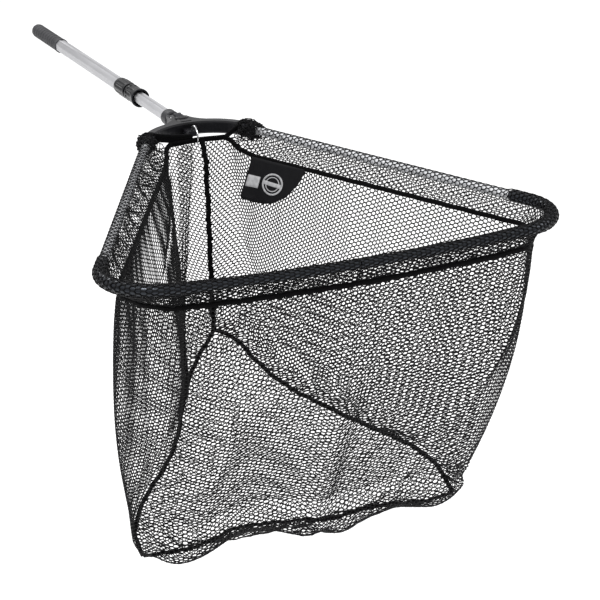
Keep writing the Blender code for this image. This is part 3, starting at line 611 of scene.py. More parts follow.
def half_wall(side):
    """One half of the wall, (rows, columns, 3), as if on the left."""
    column = np.linspace(0, 1, SIDE_COLUMNS + 1)
    front_column = np.linspace(0, 1, FRONT_COLUMNS + 1)

    def gathered(line, at_fold):
        return evenly(line, np.interp(column, [0, FOLD_COLUMN, 1], [0, at_fold, 1]))

    top_front = evenly(hem_point(np.linspace(RIM_SPLIT, HALF_LENGTH, 60)), front_column)
    bottom_front = evenly(front_half(side), front_column)
    top = np.concatenate([gathered(rim_line(), 0.085), top_front[1:]])
    bottom_side = gathered(base_side(side), 0.30 if side > 0 else 0.17)
    bottom = np.concatenate([bottom_side, bottom_front[1:]])
    down = np.linspace(0, 1, WALL_ROWS + 1)[:, None]
    grid = top[None] * (1 - down)[..., None] + bottom[None] * down[..., None]
    run = distance_along(top)
    from_corner = (run - run[SIDE_COLUMNS])[None]
    column = np.concatenate([column, 1 + front_column[1:]])[None]

    # fullness at the corner and across the front
    belly = np.sin(math.pi * down)
    near = np.exp(-((from_corner / 0.13) ** 2))
    grid[..., 0] += 0.026 * belly**0.8 * near
    grid[..., 1] += 0.006 * belly * near
    grid[..., 1] += 0.016 * belly * smoothstep(from_corner, 0.0, 0.12)

    # the wall hangs in a small pouch below the front tape
    dip = np.sin(math.pi * np.clip((down - 0.84) / 0.16, 0, 1)) ** 1.2
    pouch = np.where(from_corner < 0, np.exp(-((from_corner / 0.09) ** 2)), 1.0)
    swell = 1.0 + 0.25 * np.sin(from_corner * 21 + (0.6 if side > 0 else 2.2))
    pouch = pouch * (1 - 0.62 * np.exp(-((from_corner / 0.045) ** 2)))
    grid[..., 2] -= 0.034 * dip * pouch * swell
    grid[..., 1] += 0.009 * dip * pouch

    # back fold, from the chord's end to the side tape
    edge = np.exp(-(((column - FOLD_COLUMN) / 0.07) ** 2))
    grid[..., 0] += 0.006 * belly * edge
    grid[..., 1] -= 0.005 * belly * edge
    if side > 0:
        # the left side is drawn inwards, roughly square to the arm
        bow = 0.024 * np.sin(math.pi * down**0.75)
        bow = bow * smoothstep(column, 0.05, 0.34) * (1 - smoothstep(column, 0.34, 0.68))
        grid[..., 0] -= bow * 0.911
        grid[..., 1] += bow * 0.411

    # columns near the back seam are pulled on to it
    depth = down[:, 0]
    seam = np.stack([-0.010 * side * (1 - depth) ** 2, np.interp(depth, SEAM_DEPTHS, SEAM_Y)], -1)
    pull = np.exp(-column * 16)
    for k in (0, 1):
        grid[..., k] += (seam[:, k] - grid[:, 0, k])[:, None] * pull
    return grid


def closed_wall():
    """The whole wall as a loop: back seam, left, front centre, right."""
    left, right = half_wall(1), sided(half_wall(-1), -1)
    left[:, 0] = right[:, 0] = (left[:, 0] + right[:, 0]) / 2
    left[:, -1, 1:] = right[:, -1, 1:] = (left[:, -1, 1:] + right[:, -1, 1:]) / 2
    left[:, -1, 0] = right[:, -1, 0] = 0.0
    return np.concatenate([left, right[:, ::-1][:, 1:-1]], 1)


# ======================================================================= draping
# Starting folds: waves round the wall, height, phase
FOLDS = ((5, 0.0045, 0.4), (9, 0.0035, 1.9), (14, 0.0028, 4.0), (23, 0.0012, 2.2))
DRAPE_CAP = 0.034  # the furthest a point may settle from its place

CLOTH_SETTINGS = dict(
    quality=6, mass=0.12,
    tension_stiffness=12, compression_stiffness=8, shear_stiffness=2.5, bending_stiffness=0.06,
    tension_damping=6, compression_damping=6, shear_damping=6, bending_damping=0.5,
    air_damping=2.5, vertex_group_mass="pin",
    # cut a little fuller than the space between its tapes
    shrink_min=-0.035, shrink_max=-0.035,
)


def base_layout(ring):
    """The base's vertex numbers (rows, columns), and the points it adds to the wall's.
    Its first row is one point at the back; its sides share the wall's bottom row."""
    rows, around = ring.shape[:2]
    bottom = (rows - 1) * around
    ids = np.zeros((BASE_ROWS, 2 * BASE_HALF + 1), int)
    added = []
    for i in range(BASE_ROWS):
        left, right = ring[-1, i], ring[-1, (around - i) % around]
        centre = (left + right) / 2
        for j in range(2 * BASE_HALF + 1):
            k = j - BASE_HALF
            if i == 0:
                ids[i, j] = bottom
            elif k == BASE_HALF:
                ids[i, j] = bottom + i
            elif k == -BASE_HALF:
                ids[i, j] = bottom + (around - i) % around
            else:
                point = centre + ((left if k > 0 else right) - centre) * (abs(k) / BASE_HALF)
                if i == BASE_ROWS - 1:  # meets the front tape
                    point = evenly(FRONT_TAPE, [(1 - k / BASE_HALF) / 2])[0]
                ids[i, j] = rows * around + len(added)
                added.append(point)
    return ids, np.array(added)


def bag_faces(rows, around, ids):
    faces = [
        (i * around + j, i * around + (j + 1) % around,
         (i + 1) * around + (j + 1) % around, (i + 1) * around + j)
        for i in range(rows - 1) for j in range(around)
    ]
    for i in range(BASE_ROWS - 1):
        for j in range(2 * BASE_HALF):
            corners = (ids[i, j], ids[i, j + 1], ids[i + 1, j + 1], ids[i + 1, j])
            distinct = tuple(dict.fromkeys(int(x) for x in corners))
            if len(distinct) >= 3:
                faces.append(distinct)
    return faces


def folded(ring):
    """Offsets that start the wall's folds: outward waves that fade at the tapes."""
    rows, around = ring.shape[:2]
    turn = np.arange(around) / around
    down = np.linspace(0, 1, rows)
    wave = np.zeros((rows, around))
    for count, height, phase in FOLDS:
        twist = 2.2 * down[:, None] * math.sin(count)
        wave += height * np.sin(2 * np.pi * count * turn[None] + phase + twist)
    outward = ring - ring.mean(1, keepdims=True)
    outward[..., 2] = 0
    fade = np.sin(np.pi * down) ** 0.8
    return (unit(outward) * (wave * fade[:, None])[..., None]).reshape(-1, 3)


def settle(points, faces, pins):
    """Runs the cloth from points in head coordinates, pins held, and returns where it settles."""
    mesh = bpy.data.meshes.new("drape")
    mesh.from_pydata(to_row(points).tolist(), [], faces)
    ob = bpy.data.objects.new("drape", mesh)
    bpy.context.scene.collection.objects.link(ob)
    ob.vertex_groups.new(name="pin").add(pins, 1.0, "REPLACE")
    cloth = ob.modifiers.new("cloth", "CLOTH")
    for key, value in CLOTH_SETTINGS.items():
        setattr(cloth.settings, key, value)
    cloth.collision_settings.use_collision = False
    cloth.collision_settings.use_self_collision = False
    cloth.point_cache.frame_start, cloth.point_cache.frame_end = 1, 40
    scene = bpy.context.scene
    scene.frame_start, scene.frame_end = 1, 40
    for f in range(1, 31):
        scene.frame_set(f)
    evaluated = ob.evaluated_get(bpy.context.evaluated_depsgraph_get())
    settled = np.array([vertex.co[:] for vertex in evaluated.data.vertices])
    scene.frame_set(1)
    bpy.data.objects.remove(ob, do_unlink=True)
    bpy.data.meshes.remove(mesh)
    if not np.isfinite(settled).all():  # the cloth blew up: keep the undraped shape
        settled = to_row(points)
    return to_head(settled)


def drape():
    """Hangs wall and base with the rim, tapes and back seam held; returns both as grids."""
    ring = closed_wall()
    rows, around = ring.shape[:2]
    wall_count = rows * around
    bottom = wall_count - around
    ids, added = base_layout(ring)
    rest = np.concatenate([ring.reshape(-1, 3), added])
    start = rest.copy()
    start[:wall_count] += folded(ring)
    start[wall_count:, 2] += RNG.normal(0, 0.0006, len(added)) - 0.004
    pins = {*range(around), *range(bottom, wall_count), *ids[-1].tolist()}
    pins |= {i * around for i in range(rows)}
    step = settle(start, bag_faces(rows, around, ids), sorted(pins)) - rest
    moved = np.linalg.norm(step, axis=1)
    settled = rest + step * np.minimum(1, DRAPE_CAP / np.maximum(moved, 1e-9))[:, None]
    return settled[:wall_count].reshape(rows, around, 3), settled[ids]


wall, base = drape()


# ======================================================================= grids and flat patterns
def sample(grid, row, column):
    """Bilinear look-up at fractional rows and columns, carried on straight past the edges."""
    i = np.clip(row.astype(int), 0, grid.shape[0] - 2)
    j = np.clip(column.astype(int), 0, grid.shape[1] - 2)
    u, v = (row - i)[..., None], (column - j)[..., None]
    near = grid[i, j] * (1 - u) + grid[i + 1, j] * u
    return near * (1 - v) + (grid[i, j + 1] * (1 - u) + grid[i + 1, j + 1] * u) * v


def refine(grid):
    """A smoother, finer grid, by cubic resampling along both directions."""

    def resample(g):
        count = len(g)
        t = np.linspace(0, count - 1, (count - 1) * REFINE + 1)
        i = np.minimum(t.astype(int), count - 2)
        f = (t - i).reshape(-1, *([1] * (g.ndim - 1)))
        p0, p1, p2, p3 = g[np.maximum(i - 1, 0)], g[i], g[i + 1], g[np.minimum(i + 2, count - 1)]
        square = (2 * p0 - 5 * p1 + 4 * p2 - p3) * f**2
        return 0.5 * (2 * p1 + (p2 - p0) * f + square + (3 * p1 - p0 - 3 * p2 + p3) * f**3)

    grid = resample(np.asarray(grid, float))
    return np.swapaxes(resample(np.swapaxes(grid, 0, 1)), 0, 1)


def flatten(grid):
    """The flat pattern of a surface: rows laid straight, then relaxed towards the surface's own
    lengths, and stopped before any square gets thin enough to turn over."""
    x, y = distance_along(grid, 1), distance_along(grid, 0)
    flat = np.stack([x - x[:, -1:] + x[0, -1], y], -1)
    down, over = grid[1:, :-1] - grid[:-1, :-1], grid[:-1, 1:] - grid[:-1, :-1]
    areas = np.linalg.norm(np.cross(down, over), axis=2)
    links = [
        (np.s_[:, :-1], np.s_[:, 1:]), (np.s_[:-1, :], np.s_[1:, :]),
        (np.s_[:-1, :-1], np.s_[1:, 1:]), (np.s_[:-1, 1:], np.s_[1:, :-1]),
    ]
    lengths = [np.linalg.norm(grid[b] - grid[a], axis=2) for a, b in links]
    for _ in range(60):
        move = np.zeros_like(flat)
        count = np.zeros((*flat.shape[:2], 1))
        for (a, b), length in zip(links, lengths):
            gap = flat[b] - flat[a]
            now = np.maximum(np.linalg.norm(gap, axis=2), 1e-9)
            change = gap * (0.5 * (1 - length / now))[..., None]
            move[a] += change
            move[b] -= change
            count[a] += 1
            count[b] += 1
        new = flat + move / count * 1.2
        down, over = new[1:, :-1] - new[:-1, :-1], new[:-1, 1:] - new[:-1, :-1]
        if ((down[..., 1] * over[..., 0] - down[..., 0] * over[..., 1]) < 0.35 * areas).any():
            break
        flat = new
    return flat


def locate(flat, points):
    """Fractional (row, column) in a flat pattern of each point, past its edges too: the nearest
    coarse point, then Newton steps. A point that is not found gets row -99."""
    rows, columns = flat.shape[:2]
    thinned = flat[::2, ::2]
    coarse = thinned.reshape(-1, 2)
    near = np.zeros(len(points), int)
    for k in range(0, len(points), 4000):
        near[k : k + 4000] = ((points[k : k + 4000, None] - coarse[None]) ** 2).sum(2).argmin(1)
    width = thinned.shape[1]
    row, column = (near // width) * 2.0, (near % width) * 2.0
    h = 0.25
    for _ in range(14):
        in_row = np.clip(row, 0.001, rows - 1.001)
        in_column = np.clip(column, 0.001, columns - 1.001)
        miss = sample(flat, row, column) - points
        r0, r1 = np.maximum(in_row - h, 0), np.minimum(in_row + h, rows - 1)
        c0, c1 = np.maximum(in_column - h, 0), np.minimum(in_column + h, columns - 1)
        by_row = (sample(flat, r1, in_column) - sample(flat, r0, in_column)) / (r1 - r0)[:, None]
        by_column = (sample(flat, in_row, c1) - sample(flat, in_row, c0)) / (c1 - c0)[:, None]
        det = by_row[:, 0] * by_column[:, 1] - by_row[:, 1] * by_column[:, 0]
        det = np.where(np.abs(det) < 1e-10, 1e-10, det)
        row_step = (miss[:, 0] * by_column[:, 1] - miss[:, 1] * by_column[:, 0]) / det
        column_step = (by_row[:, 0] * miss[:, 1] - by_row[:, 1] * miss[:, 0]) / det
        row = np.clip(row - np.clip(row_step, -3, 3), -4, rows + 3)
        column = np.clip(column - np.clip(column_step, -3, 3), -4, columns + 3)
    row[np.linalg.norm(sample(flat, row, column) - points, axis=1) > 0.004] = -99
    return row, column


def locate_rows(flat, points):
    """The same, for a pattern whose rows are straight and evenly divided."""
    row_y, y = flat[:, 0, 1], points[:, 1]
    count = np.arange(len(row_y))
    row = np.interp(y, row_y, count)
    row = np.where(y < row_y[0], (y - row_y[0]) / (row_y[1] - row_y[0]), row)
    beyond = len(row_y) - 1 + (y - row_y[-1]) / (row_y[-1] - row_y[-2])
    row = np.where(y > row_y[-1], beyond, row)
    x0, x1 = (np.interp(row, count, flat[:, k, 0]) for k in (0, -1))
    return row, (points[:, 0] - x0) / (x1 - x0) * (flat.shape[1] - 1)


def crease(grid, line, height, width, size):
    """Raises a sharp fold along a line of (row, column) fractions; size is the grid's rough
    height and width."""
    rows, columns = grid.shape[:2]
    a, b = np.meshgrid(
        np.linspace(0, 1, rows) * size[0], np.linspace(0, 1, columns) * size[1], indexing="ij"
    )
    nearest = np.full((rows, columns), 1e9)
    along = np.zeros((rows, columns))
    line = np.array(line) * size
    for k, (p, q) in enumerate(zip(line[:-1], line[1:])):
        d = q - p
        t = np.clip(((a - p[0]) * d[0] + (b - p[1]) * d[1]) / (d @ d), 0, 1)
        distance = np.hypot(a - p[0] - t * d[0], b - p[1] - t * d[1])
        closer = distance < nearest
        nearest[closer] = distance[closer]
        along[closer] = ((k + t) / (len(line) - 1))[closer]
    taper = np.clip(np.sin(math.pi * np.clip(along, 0.04, 0.96)), 0, 1) ** 0.5
    lift = height * np.exp(-nearest / width) * taper
    edge = np.minimum(1, np.minimum(np.arange(rows), np.arange(rows)[::-1]) / 4)[:, None]
    return grid + normals(grid) * (lift * edge)[..., None]


# ======================================================================= strands
def netting(low, high, cell=CELL, joint=JOINT):
    """Knotless mesh over a rectangle: (N, 2, 2) ends, and whether each is a joint. Openings are
    six-sided."""
    (cu, cv), h = cell, joint / 2
    spans = [
        np.arange(math.floor(low[k] / cell[k] * 2) - 1, math.ceil(high[k] / cell[k] * 2) + 2)
        for k in (0, 1)
    ]
    i, j = np.meshgrid(*spans, indexing="ij")
    even = (i + j) % 2 == 0
    p = np.stack([i[even] * cu / 2, j[even] * cv / 2], -1)
    joints = np.stack([p - (h, 0), p + (h, 0)], 1)
    rising = np.stack([p + (h, 0), p + (cu / 2 - h, cv / 2)], 1)
    falling = np.stack([p + (h, 0), p + (cu / 2 - h, -cv / 2)], 1)
    return np.concatenate([joints, rising, falling]), np.repeat([True, False, False], len(p))


def clip_box(ends, is_joint, high, low=(0.0, 0.0)):
    """Cuts segments to a rectangle and drops those that were not located."""
    limits = ((0, low[0], -1), (0, high[0], 1), (1, low[1], -1), (1, high[1], 1))
    for axis, limit, sign in limits:
        over = (ends[:, :, axis] - limit) * sign
        keep = ((over[:, 0] <= 0) | (over[:, 1] <= 0)) & (ends[:, :, 0].min(1) > -50)
        ends, over, is_joint = ends[keep], over[keep], is_joint[keep]
        for end, other in ((0, 1), (1, 0)):
            out = over[:, end] > 0
            t = (over[out, other] / (over[out, other] - over[out, end]))[:, None]
            ends[out, end] = ends[out, other] + (ends[out, end] - ends[out, other]) * t
            over[out, end] = 0
    return ends, is_joint


def prisms(a, b, radius, waisted):
    """Four-sided prisms from a to b, as verts and quads; waisted ones are thicker at both ends."""
    d = b - a
    length = np.linalg.norm(d, axis=1, keepdims=True)
    keep = length[:, 0] > 0.0004
    a, b, d, length = a[keep], b[keep], d[keep], length[keep]
    d = d / length
    steep = np.abs(d[:, 2:3]) > 0.9
    u = unit(np.cross(d, np.where(steep, np.array([[1.0, 0, 0]]), np.array([[0, 0, 1.0]]))))
    w = np.cross(u, d)
    over = np.minimum(0.0006, length * 0.2)
    if waisted:
        stops = ((a - d * over, 1.25), ((a + b) / 2, 0.88), (b + d * over, 1.25))
    else:
        stops = ((a - d * over, 0.82), (b + d * over, 0.82))
    rings = [
        np.stack([c + u * radius * k, c + w * radius * k, c - u * radius * k, c - w * radius * k], 1)
        for c, k in stops
    ]
    per = 4 * len(stops)
    quads = [
        [ring + k, ring + (k + 1) % 4, ring + 4 + (k + 1) % 4, ring + 4 + k]
        for ring in range(0, per - 4, 4) for k in range(4)
    ]
    first = (np.arange(len(a)) * per)[:, None, None]
    return np.stack(rings, 1).reshape(-1, 3), (np.array(quads)[None] + first).reshape(-1, 4)


def strands(name, ends, is_joint, radius, joint_radius):
    """One mesh from (N, 2, 3) ends in head coordinates."""
    verts, faces = prisms(ends[~is_joint, 0], ends[~is_joint, 1], radius, True)
    joint_verts, joint_faces = prisms(ends[is_joint, 0], ends[is_joint, 1], joint_radius, False)
    faces = np.concatenate([faces, joint_faces + len(verts)])
    verts = np.concatenate([verts, joint_verts])
    ob = quad_object(name, verts, faces, MESH)
    add_planar_uv(ob.data, verts)
    return ob


def net_from(grid, flat, shift, side, pieces, find=locate, cell=CELL):
    """Lays netting over a pattern and lifts it on to the draped surface. Each piece is a name,
    its row and column fractions, its strands' half width and the CAD pieces it replaces."""
    rows, columns = grid.shape[0] - 1, grid.shape[1] - 1
    points = flat.reshape(-1, 2)
    ends, is_joint = netting(points.min(0) - shift, points.max(0) - shift, cell)
    row, column = find(flat, (ends + shift).reshape(-1, 2))
    scale = rows / (flat.shape[0] - 1), columns / (flat.shape[1] - 1)
    ends = np.stack([row * scale[0], column * scale[1]], -1).reshape(-1, 2, 2)
    ends, is_joint = clip_box(ends, is_joint, (rows, columns))
    lifted = sample(grid, ends[..., 0], ends[..., 1])
    whole = np.linalg.norm(lifted[:, 0] - lifted[:, 1], axis=1) < 0.019
    ends, is_joint, lifted = ends[whole], is_joint[whole], lifted[whole]
    r, c = ends.mean(1).T
    for name, (r0, r1, c0, c1), radius, nodes in pieces:
        use = (r >= r0 * rows) & (r < r1 * rows + 1e-6)
        use &= (c >= c0 * columns) & (c < c1 * columns + 1e-6)
        joint_radius = radius * STRAND_JOINT / STRAND
        place(strands(name, lifted[use], is_joint[use], radius, joint_radius), side, nodes)


# ======================================================================= wall netting
WALL_SIZE = (0.45, 1.05)  # rough height and half length
# Creases by side: (row, column) fractions, height, width
WALL_CREASES = {
    1: (
        ([(0.03, 0.07), (0.16, 0.15), (0.30, 0.22)], 0.0050, 0.0050),
        ([(0.03, 0.08), (0.16, 0.22), (0.28, 0.34)], 0.0045, 0.0050),
        ([(0.50, 0.83), (0.7, 0.80), (0.9, 0.79)], 0.0030, 0.010),
    ),
    -1: (
        ([(0.05, 0.710), (0.25, 0.735), (0.45, 0.760)], 0.0120, 0.0070),
        ([(0.42, 0.757), (0.62, 0.795), (0.80, 0.830)], 0.0035, 0.0120),
        ([(0.76, 0.822), (0.84, 0.840), (0.91, 0.860)], 0.0060, 0.0060),
        ([(0.55, 0.012), (0.75, 0.03), (0.95, 0.045)], 0.0050, 0.0050),
        ([(0.30, 0.06), (0.62, 0.14), (0.9, 0.2)], 0.0040, 0.014),
    ),
}
SIDE_SHARE = SIDE_COLUMNS / HALF_COLUMNS

# The doubled strip down the left wall: depth, and its column as a fraction of the side wall
STRIP_DEPTHS = [0, 0.25, 0.5, 0.75, 1.0]
STRIP_COLUMNS = [0.072, 0.088, 0.112, 0.148, 0.205]
STRIP_HALF = 0.0125


def ripples(half):
    """Pleats that run down from the ring, on the left."""
    rows, columns = half.shape[:2]
    down, column = np.meshgrid(np.linspace(0, 1, rows), np.linspace(0, 1, columns), indexing="ij")
    fan = np.arctan2(column * 0.9, down * 0.45 + 0.02)
    lift = 0.0016 * np.sin(fan * 9) * np.exp(-((down / 0.75) ** 2)) * np.minimum(1, down * 9)
    lift = lift * smoothstep(column, 0.10, 0.20) * (1 - smoothstep(column, 0.5, 0.75))
    return normals(half) * lift[..., None]


def wall_grid(side):
    """The draped half wall, partly drawn back to its undraped shape, then pleated and creased."""
    loop = wall if side > 0 else np.concatenate([wall[:, :1], wall[:, ::-1]], 1)
    half = sided(loop[:, : HALF_COLUMNS + 1], side)
    # the mesh is taut under the arms and at the corners, and hangs loosest across the front
    column = np.arange(HALF_COLUMNS + 1)
    front = smoothstep(column, SIDE_COLUMNS - 2, SIDE_COLUMNS + 9)
    calm = (0.86 if side > 0 else 0.60) * (1 - front) + 0.45 * front
    calm = calm * smoothstep(column, 0, 2)
    calm = (calm * (1 - smoothstep(column, HALF_COLUMNS - 3, HALF_COLUMNS)))[None, :, None]
    half = half * (1 - calm) + half_wall(side) * calm
    if side > 0:
        half = half + ripples(half)
    grid = refine(half)
    for line, height, width in WALL_CREASES[side]:
        grid = crease(grid, line, height, width, WALL_SIZE)
    return grid


def add_strip(grid):
    """The doubled strip of mesh that falls from the chord's end to the side tape."""
    across = np.linspace(-1, 1, 9)
    strip = []
    for down in np.linspace(0.012, 0.985, 70):
        share = np.interp(down, STRIP_DEPTHS, STRIP_COLUMNS) * SIDE_SHARE
        row, column = np.array([down * (grid.shape[0] - 1)]), share * (grid.shape[1] - 1)
        middle = sample(grid, row, np.array([column]))[0]
        sideways = unit(sample(grid, row, np.array([column + 1.5]))[0] - middle)
        reach = (across * (STRIP_HALF + 0.0012 * math.sin(down * 17)))[:, None]
        bulge = np.array([-0.0006, 0.0020, 0.0]) * (1 - across**2)[:, None]
        strip.append(middle + sideways * reach + np.array([-0.0016, 0.0050, 0.0]) + bulge)
    strip = np.array(strip)
    run = distance_along(strip[:, 4])
    width = np.linspace(-STRIP_HALF, STRIP_HALF, 9)
    flat = np.stack([np.repeat(width[None], 70, 0), np.repeat(run[:, None], 9, 1)], -1)
    # layer, its offset in space, its netting's shift in the pattern
    for layer, offset, shift in (
        ("a", (0, 0, 0), (0.0, 0.0)),
        ("b", (-0.0012, 0.0036, 0.001), (0.0037, 0.0019)),
    ):
        pieces = [("net_pleat_" + layer, (0, 1, 0, 1), 0.00064, [])]
        net_from(strip + np.array(offset), flat, np.array(shift), 1, pieces, locate_rows)


for side, tag in SIDES:
    grid = wall_grid(side)
    flat = flatten(half_wall(side))
    # more mesh is gathered towards the back seam
    from_seam = flat[..., 0] - flat[:, :1, 0]
    flat[..., 0] -= 0.135 * (1 - np.clip(from_seam / 0.32, 0, 1)) ** 1.3
    side_strand = 0.00086 if side > 0 else 0.00102
    net_from(grid, flat, np.array([flat[0, -1, 0], 0.0]), side, [
        ("net_side_%s_upper" % tag, (0, 0.5, 0, SIDE_SHARE), side_strand, ["bag_" + tag]),
        ("net_side_%s_lower" % tag, (0.5, 1, 0, SIDE_SHARE), side_strand, []),
        ("net_front_%s" % tag, (0, 1, SIDE_SHARE, 1), 0.00090, once(side, "bag_front")),
    ])
    if side > 0:
        add_strip(grid)

# ======================================================================= base netting
BASE_SIZE = (0.45, 0.36)
BASE_CREASE_WIDTH = 0.0065
# (row, column) fractions, height
BASE_CREASES = (
    ([(0.20, 0.30), (0.30, 0.48), (0.54, 0.615)], 0.0072),
    ([(0.44, 0.96), (0.57, 0.86), (0.63, 0.80)], 0.0096),
    ([(0.64, 0.88), (0.80, 0.86), (0.95, 0.84)], 0.0108),
    ([(0.80, 0.15), (0.90, 0.22), (0.97, 0.33)], 0.0072),
)


def add_base():
    rows, columns = base.shape[:2]
    row, column = np.meshgrid(np.linspace(0, 1, rows), np.linspace(-1, 1, columns), indexing="ij")
    sag = 0.020 * np.sin(math.pi * np.clip((row - 0.80) / 0.20, 0, 1))
    points = base.copy()
    points[..., 2] -= sag * (1 - column**4) * smoothstep(row, 0.8, 0.9)
    points = points[1:]  # the first row is a single point
    middle = BASE_HALF
    x, y = distance_along(points, 1), distance_along(points[:, middle])
    flat = np.stack([x - x[:, middle : middle + 1], np.repeat(y[:, None], columns, 1)], -1)
    grid = refine(points)
    for line, height in BASE_CREASES:
        grid = crease(grid, line, height, BASE_CREASE_WIDTH, BASE_SIZE)
    for side, tag in SIDES:
        half = sided(grid[:, ::side][:, middle * REFINE :], side)
        pattern = flat[:, ::side][:, middle:] * np.array([side, 1])
        pieces = [("net_base_" + tag, (0, 1, 0, 1), STRAND, once(side, "bag_base"))]
        net_from(half, pattern, np.zeros(2), side, pieces, locate_rows, cell=(0.0160, 0.0092))


add_base()

# ======================================================================= sleeves
SLEEVE_START = -0.014  # along the arm
SLEEVE_GIRTH = 0.104  # netting's width round the sleeve
BUNCH_LENGTH, BUNCH_GIRTH, BUNCH_START = 0.046, 0.10, -0.020


def tube_radius(along):
    """What is inside the sleeve: the bare arm, the front tube's thick end, then its middle."""
    along = np.asarray(along, float)
    start = smoothstep(along, TUBE_START - 0.012, TUBE_START + 0.002)
    middle = np.clip((along - TUBE_START - 0.13) / 0.16, 0, 1)
    return ARM_R + (TUBE_END_R - ARM_R) * start + (TUBE_R - TUBE_END_R) * middle


def sleeve_points(along, around, phase):
    """Points on the sleeve, by distance along the frame and fraction round it: hem, one face,
    over the tube, the other face, hem."""
    points, outward = frame_at(along)
    knuckle = 1 - smoothstep(along, 0.004, 0.046)
    radius = tube_radius(along) + 0.0011 + 0.0078 * knuckle
    hem_x = -lean(along)
    hem_z = (-hem_depth(along) + 0.002) * (1 - 0.45 * (1 - smoothstep(along, -0.02, 0.05)))
    # each face is a tangent from the hem to the tube
    distance = np.hypot(hem_x, hem_z)
    phi = np.arctan2(hem_z, hem_x)
    beta = np.arccos(np.clip(radius / distance, 0, 0.999))
    span = np.sqrt(np.maximum(distance**2 - radius**2, 1e-8))
    arc = radius * (2 * math.pi - 2 * beta)
    d = around * (2 * span + arc)
    on_first, on_last = d < span, d > span + arc
    f1 = np.clip(d / span, 0, 1)
    f2 = np.clip((2 * span + arc - d) / span, 0, 1)
    angle = phi + beta + (d - span) / radius

    def section(trig, hem):
        """One coordinate round the sleeve, with cos for x and sin for z."""
        first = hem + (radius * trig(phi + beta) - hem) * f1
        last = hem + (radius * trig(phi - beta) - hem) * f2
        return np.where(on_first, first, np.where(on_last, last, radius * trig(angle)))

    x, z = section(np.cos, hem_x), section(np.sin, hem_z)
    # the loose faces belly out and ripple
    f = np.where(on_first, f1, np.where(on_last, f2, 0))
    ripple = 0.0022 * np.sin(along * 41 + phase) + 0.0014 * np.sin(along * 97 + 2 * phase)
    belly = np.sin(math.pi * f) * (0.0032 + ripple)
    face = np.where(on_first, 1, -1)
    gather = knuckle * 0.0022
    x = x + face * np.sin(phi) * belly + gather * np.sin(around * 37 + along * 300)
    z = z - face * np.cos(phi) * belly + gather * np.cos(around * 31 + along * 260)
    points = points + outward * x[:, None]
    points[:, 2] += z
    return points


def add_sleeve(side, tag):
    """Mesh taken over the tube and down to the hem on both faces."""
    ends, is_joint = netting((0, 0), (HALF_LENGTH - SLEEVE_START, SLEEVE_GIRTH))
    ends = np.stack([HALF_LENGTH - ends[..., 0], ends[..., 1]], -1)
    ends, is_joint = clip_box(ends, is_joint, (HALF_LENGTH, SLEEVE_GIRTH), (SLEEVE_START, 0.0))
    along, round_ = ends.reshape(-1, 2).T
    points = sleeve_points(along, round_ / SLEEVE_GIRTH, 0.4 if side > 0 else 2.1)
    points = points.reshape(-1, 2, 3)
    arm = ends.mean(1)[:, 0] < ARM_LENGTH
    for name, use, radius, joint_radius, nodes in (
        ("net_sleeve_arm_", arm, 0.00078, 0.00120, ["sleeve_" + tag]),
        ("net_sleeve_front_", ~arm, 0.00082, 0.00126, once(side, "sleeve_front")),
    ):
        place(strands(name + tag, points[use], is_joint[use], radius, joint_radius), side, nodes)


def add_knuckle(side, tag):
    """Mesh gathered in a bunch round the knuckle."""
    ends, is_joint = netting((0, 0), (0.050, BUNCH_GIRTH), cell=(0.0090, 0.0052), joint=0.0030)
    ends, is_joint = clip_box(ends, is_joint, (BUNCH_LENGTH, BUNCH_GIRTH))
    along, round_ = ends.reshape(-1, 2).T
    along, angle = along + BUNCH_START, round_ / BUNCH_GIRTH * 2 * math.pi
    radius = 0.0148 - 0.0036 * smoothstep(along, 0.006, 0.030)
    radius = radius - 0.0045 * smoothstep(-along, 0.010, 0.020)
    radius = radius + 0.0016 * np.sin(angle * 7 + along * 240)
    radius = radius + 0.0010 * np.sin(angle * 12 - along * 400)
    points = PIVOT + ARM_DIR * along[:, None] + ARM_OUT * (radius * np.cos(angle))[:, None]
    points[:, 2] += radius * 0.93 * np.sin(angle)
    name = "net_knuckle_" + tag
    place(strands(name, points.reshape(-1, 2, 3), is_joint, radius=0.0012, joint_radius=0.0016), side)


for side, tag in SIDES:
    add_sleeve(side, tag)
    add_knuckle(side, tag)

# ======================================================================= tapes
# A flat section with softened edges, in half widths and half thicknesses
TAPE_SECTION = [
    (math.copysign(abs(math.cos(a)) ** 0.45, math.cos(a)),
     math.copysign(abs(math.sin(a)) ** 0.7, math.sin(a)))
    for a in np.arange(10) * 2 * math.pi / 10
]
# The straps' middle lines, x, y, z
STRAP_LEFT = [
    (0.0090, -0.0088, -0.0055), (0.0280, -0.0086, -0.0030), (0.0460, -0.0085, -0.0010),
    (0.0640, -0.0085, 0.0020), (0.0780, -0.0065, 0.0060), (0.0880, -0.0030, 0.0095),
]
STRAP_RIGHT = [
    (0.0500, -0.0065, -0.0120), (0.0560, -0.0075, -0.0085), (0.0640, -0.0085, -0.0035),
    (0.0720, -0.0080, 0.0020), (0.0800, -0.0060, 0.0060), (0.0880, -0.0030, 0.0095),
]
BASE_TAPE = dict(half=0.0037, thick=0.0024, waver=0.0014)


def tape_rings(line, across, normal, half, thick):
    return np.stack([line + across * half * x + normal * thick * y for x, y in TAPE_SECTION], 1)


def ribbon(name, line, across, half, thick, waver, side, nodes=()):
    """A bound tape along a line in head coordinates, wavering a little."""
    along = directions(line)
    across = np.array([across], float)
    across = unit(across - (across * along).sum(1, keepdims=True) * along)
    normal = np.cross(along, across)
    run = distance_along(line)
    lift = waver * (np.sin(run * 160) + 0.6 * np.sin(run * 283 + 1.3))
    sway = waver * np.sin(run * 121 + 0.5)
    line = line + normal * lift[:, None] * 0.5 + across * sway[:, None] * 0.5
    rings = tape_rings(line, across, normal, half, thick)
    place(loft(name, rings, TAPE), side, nodes)


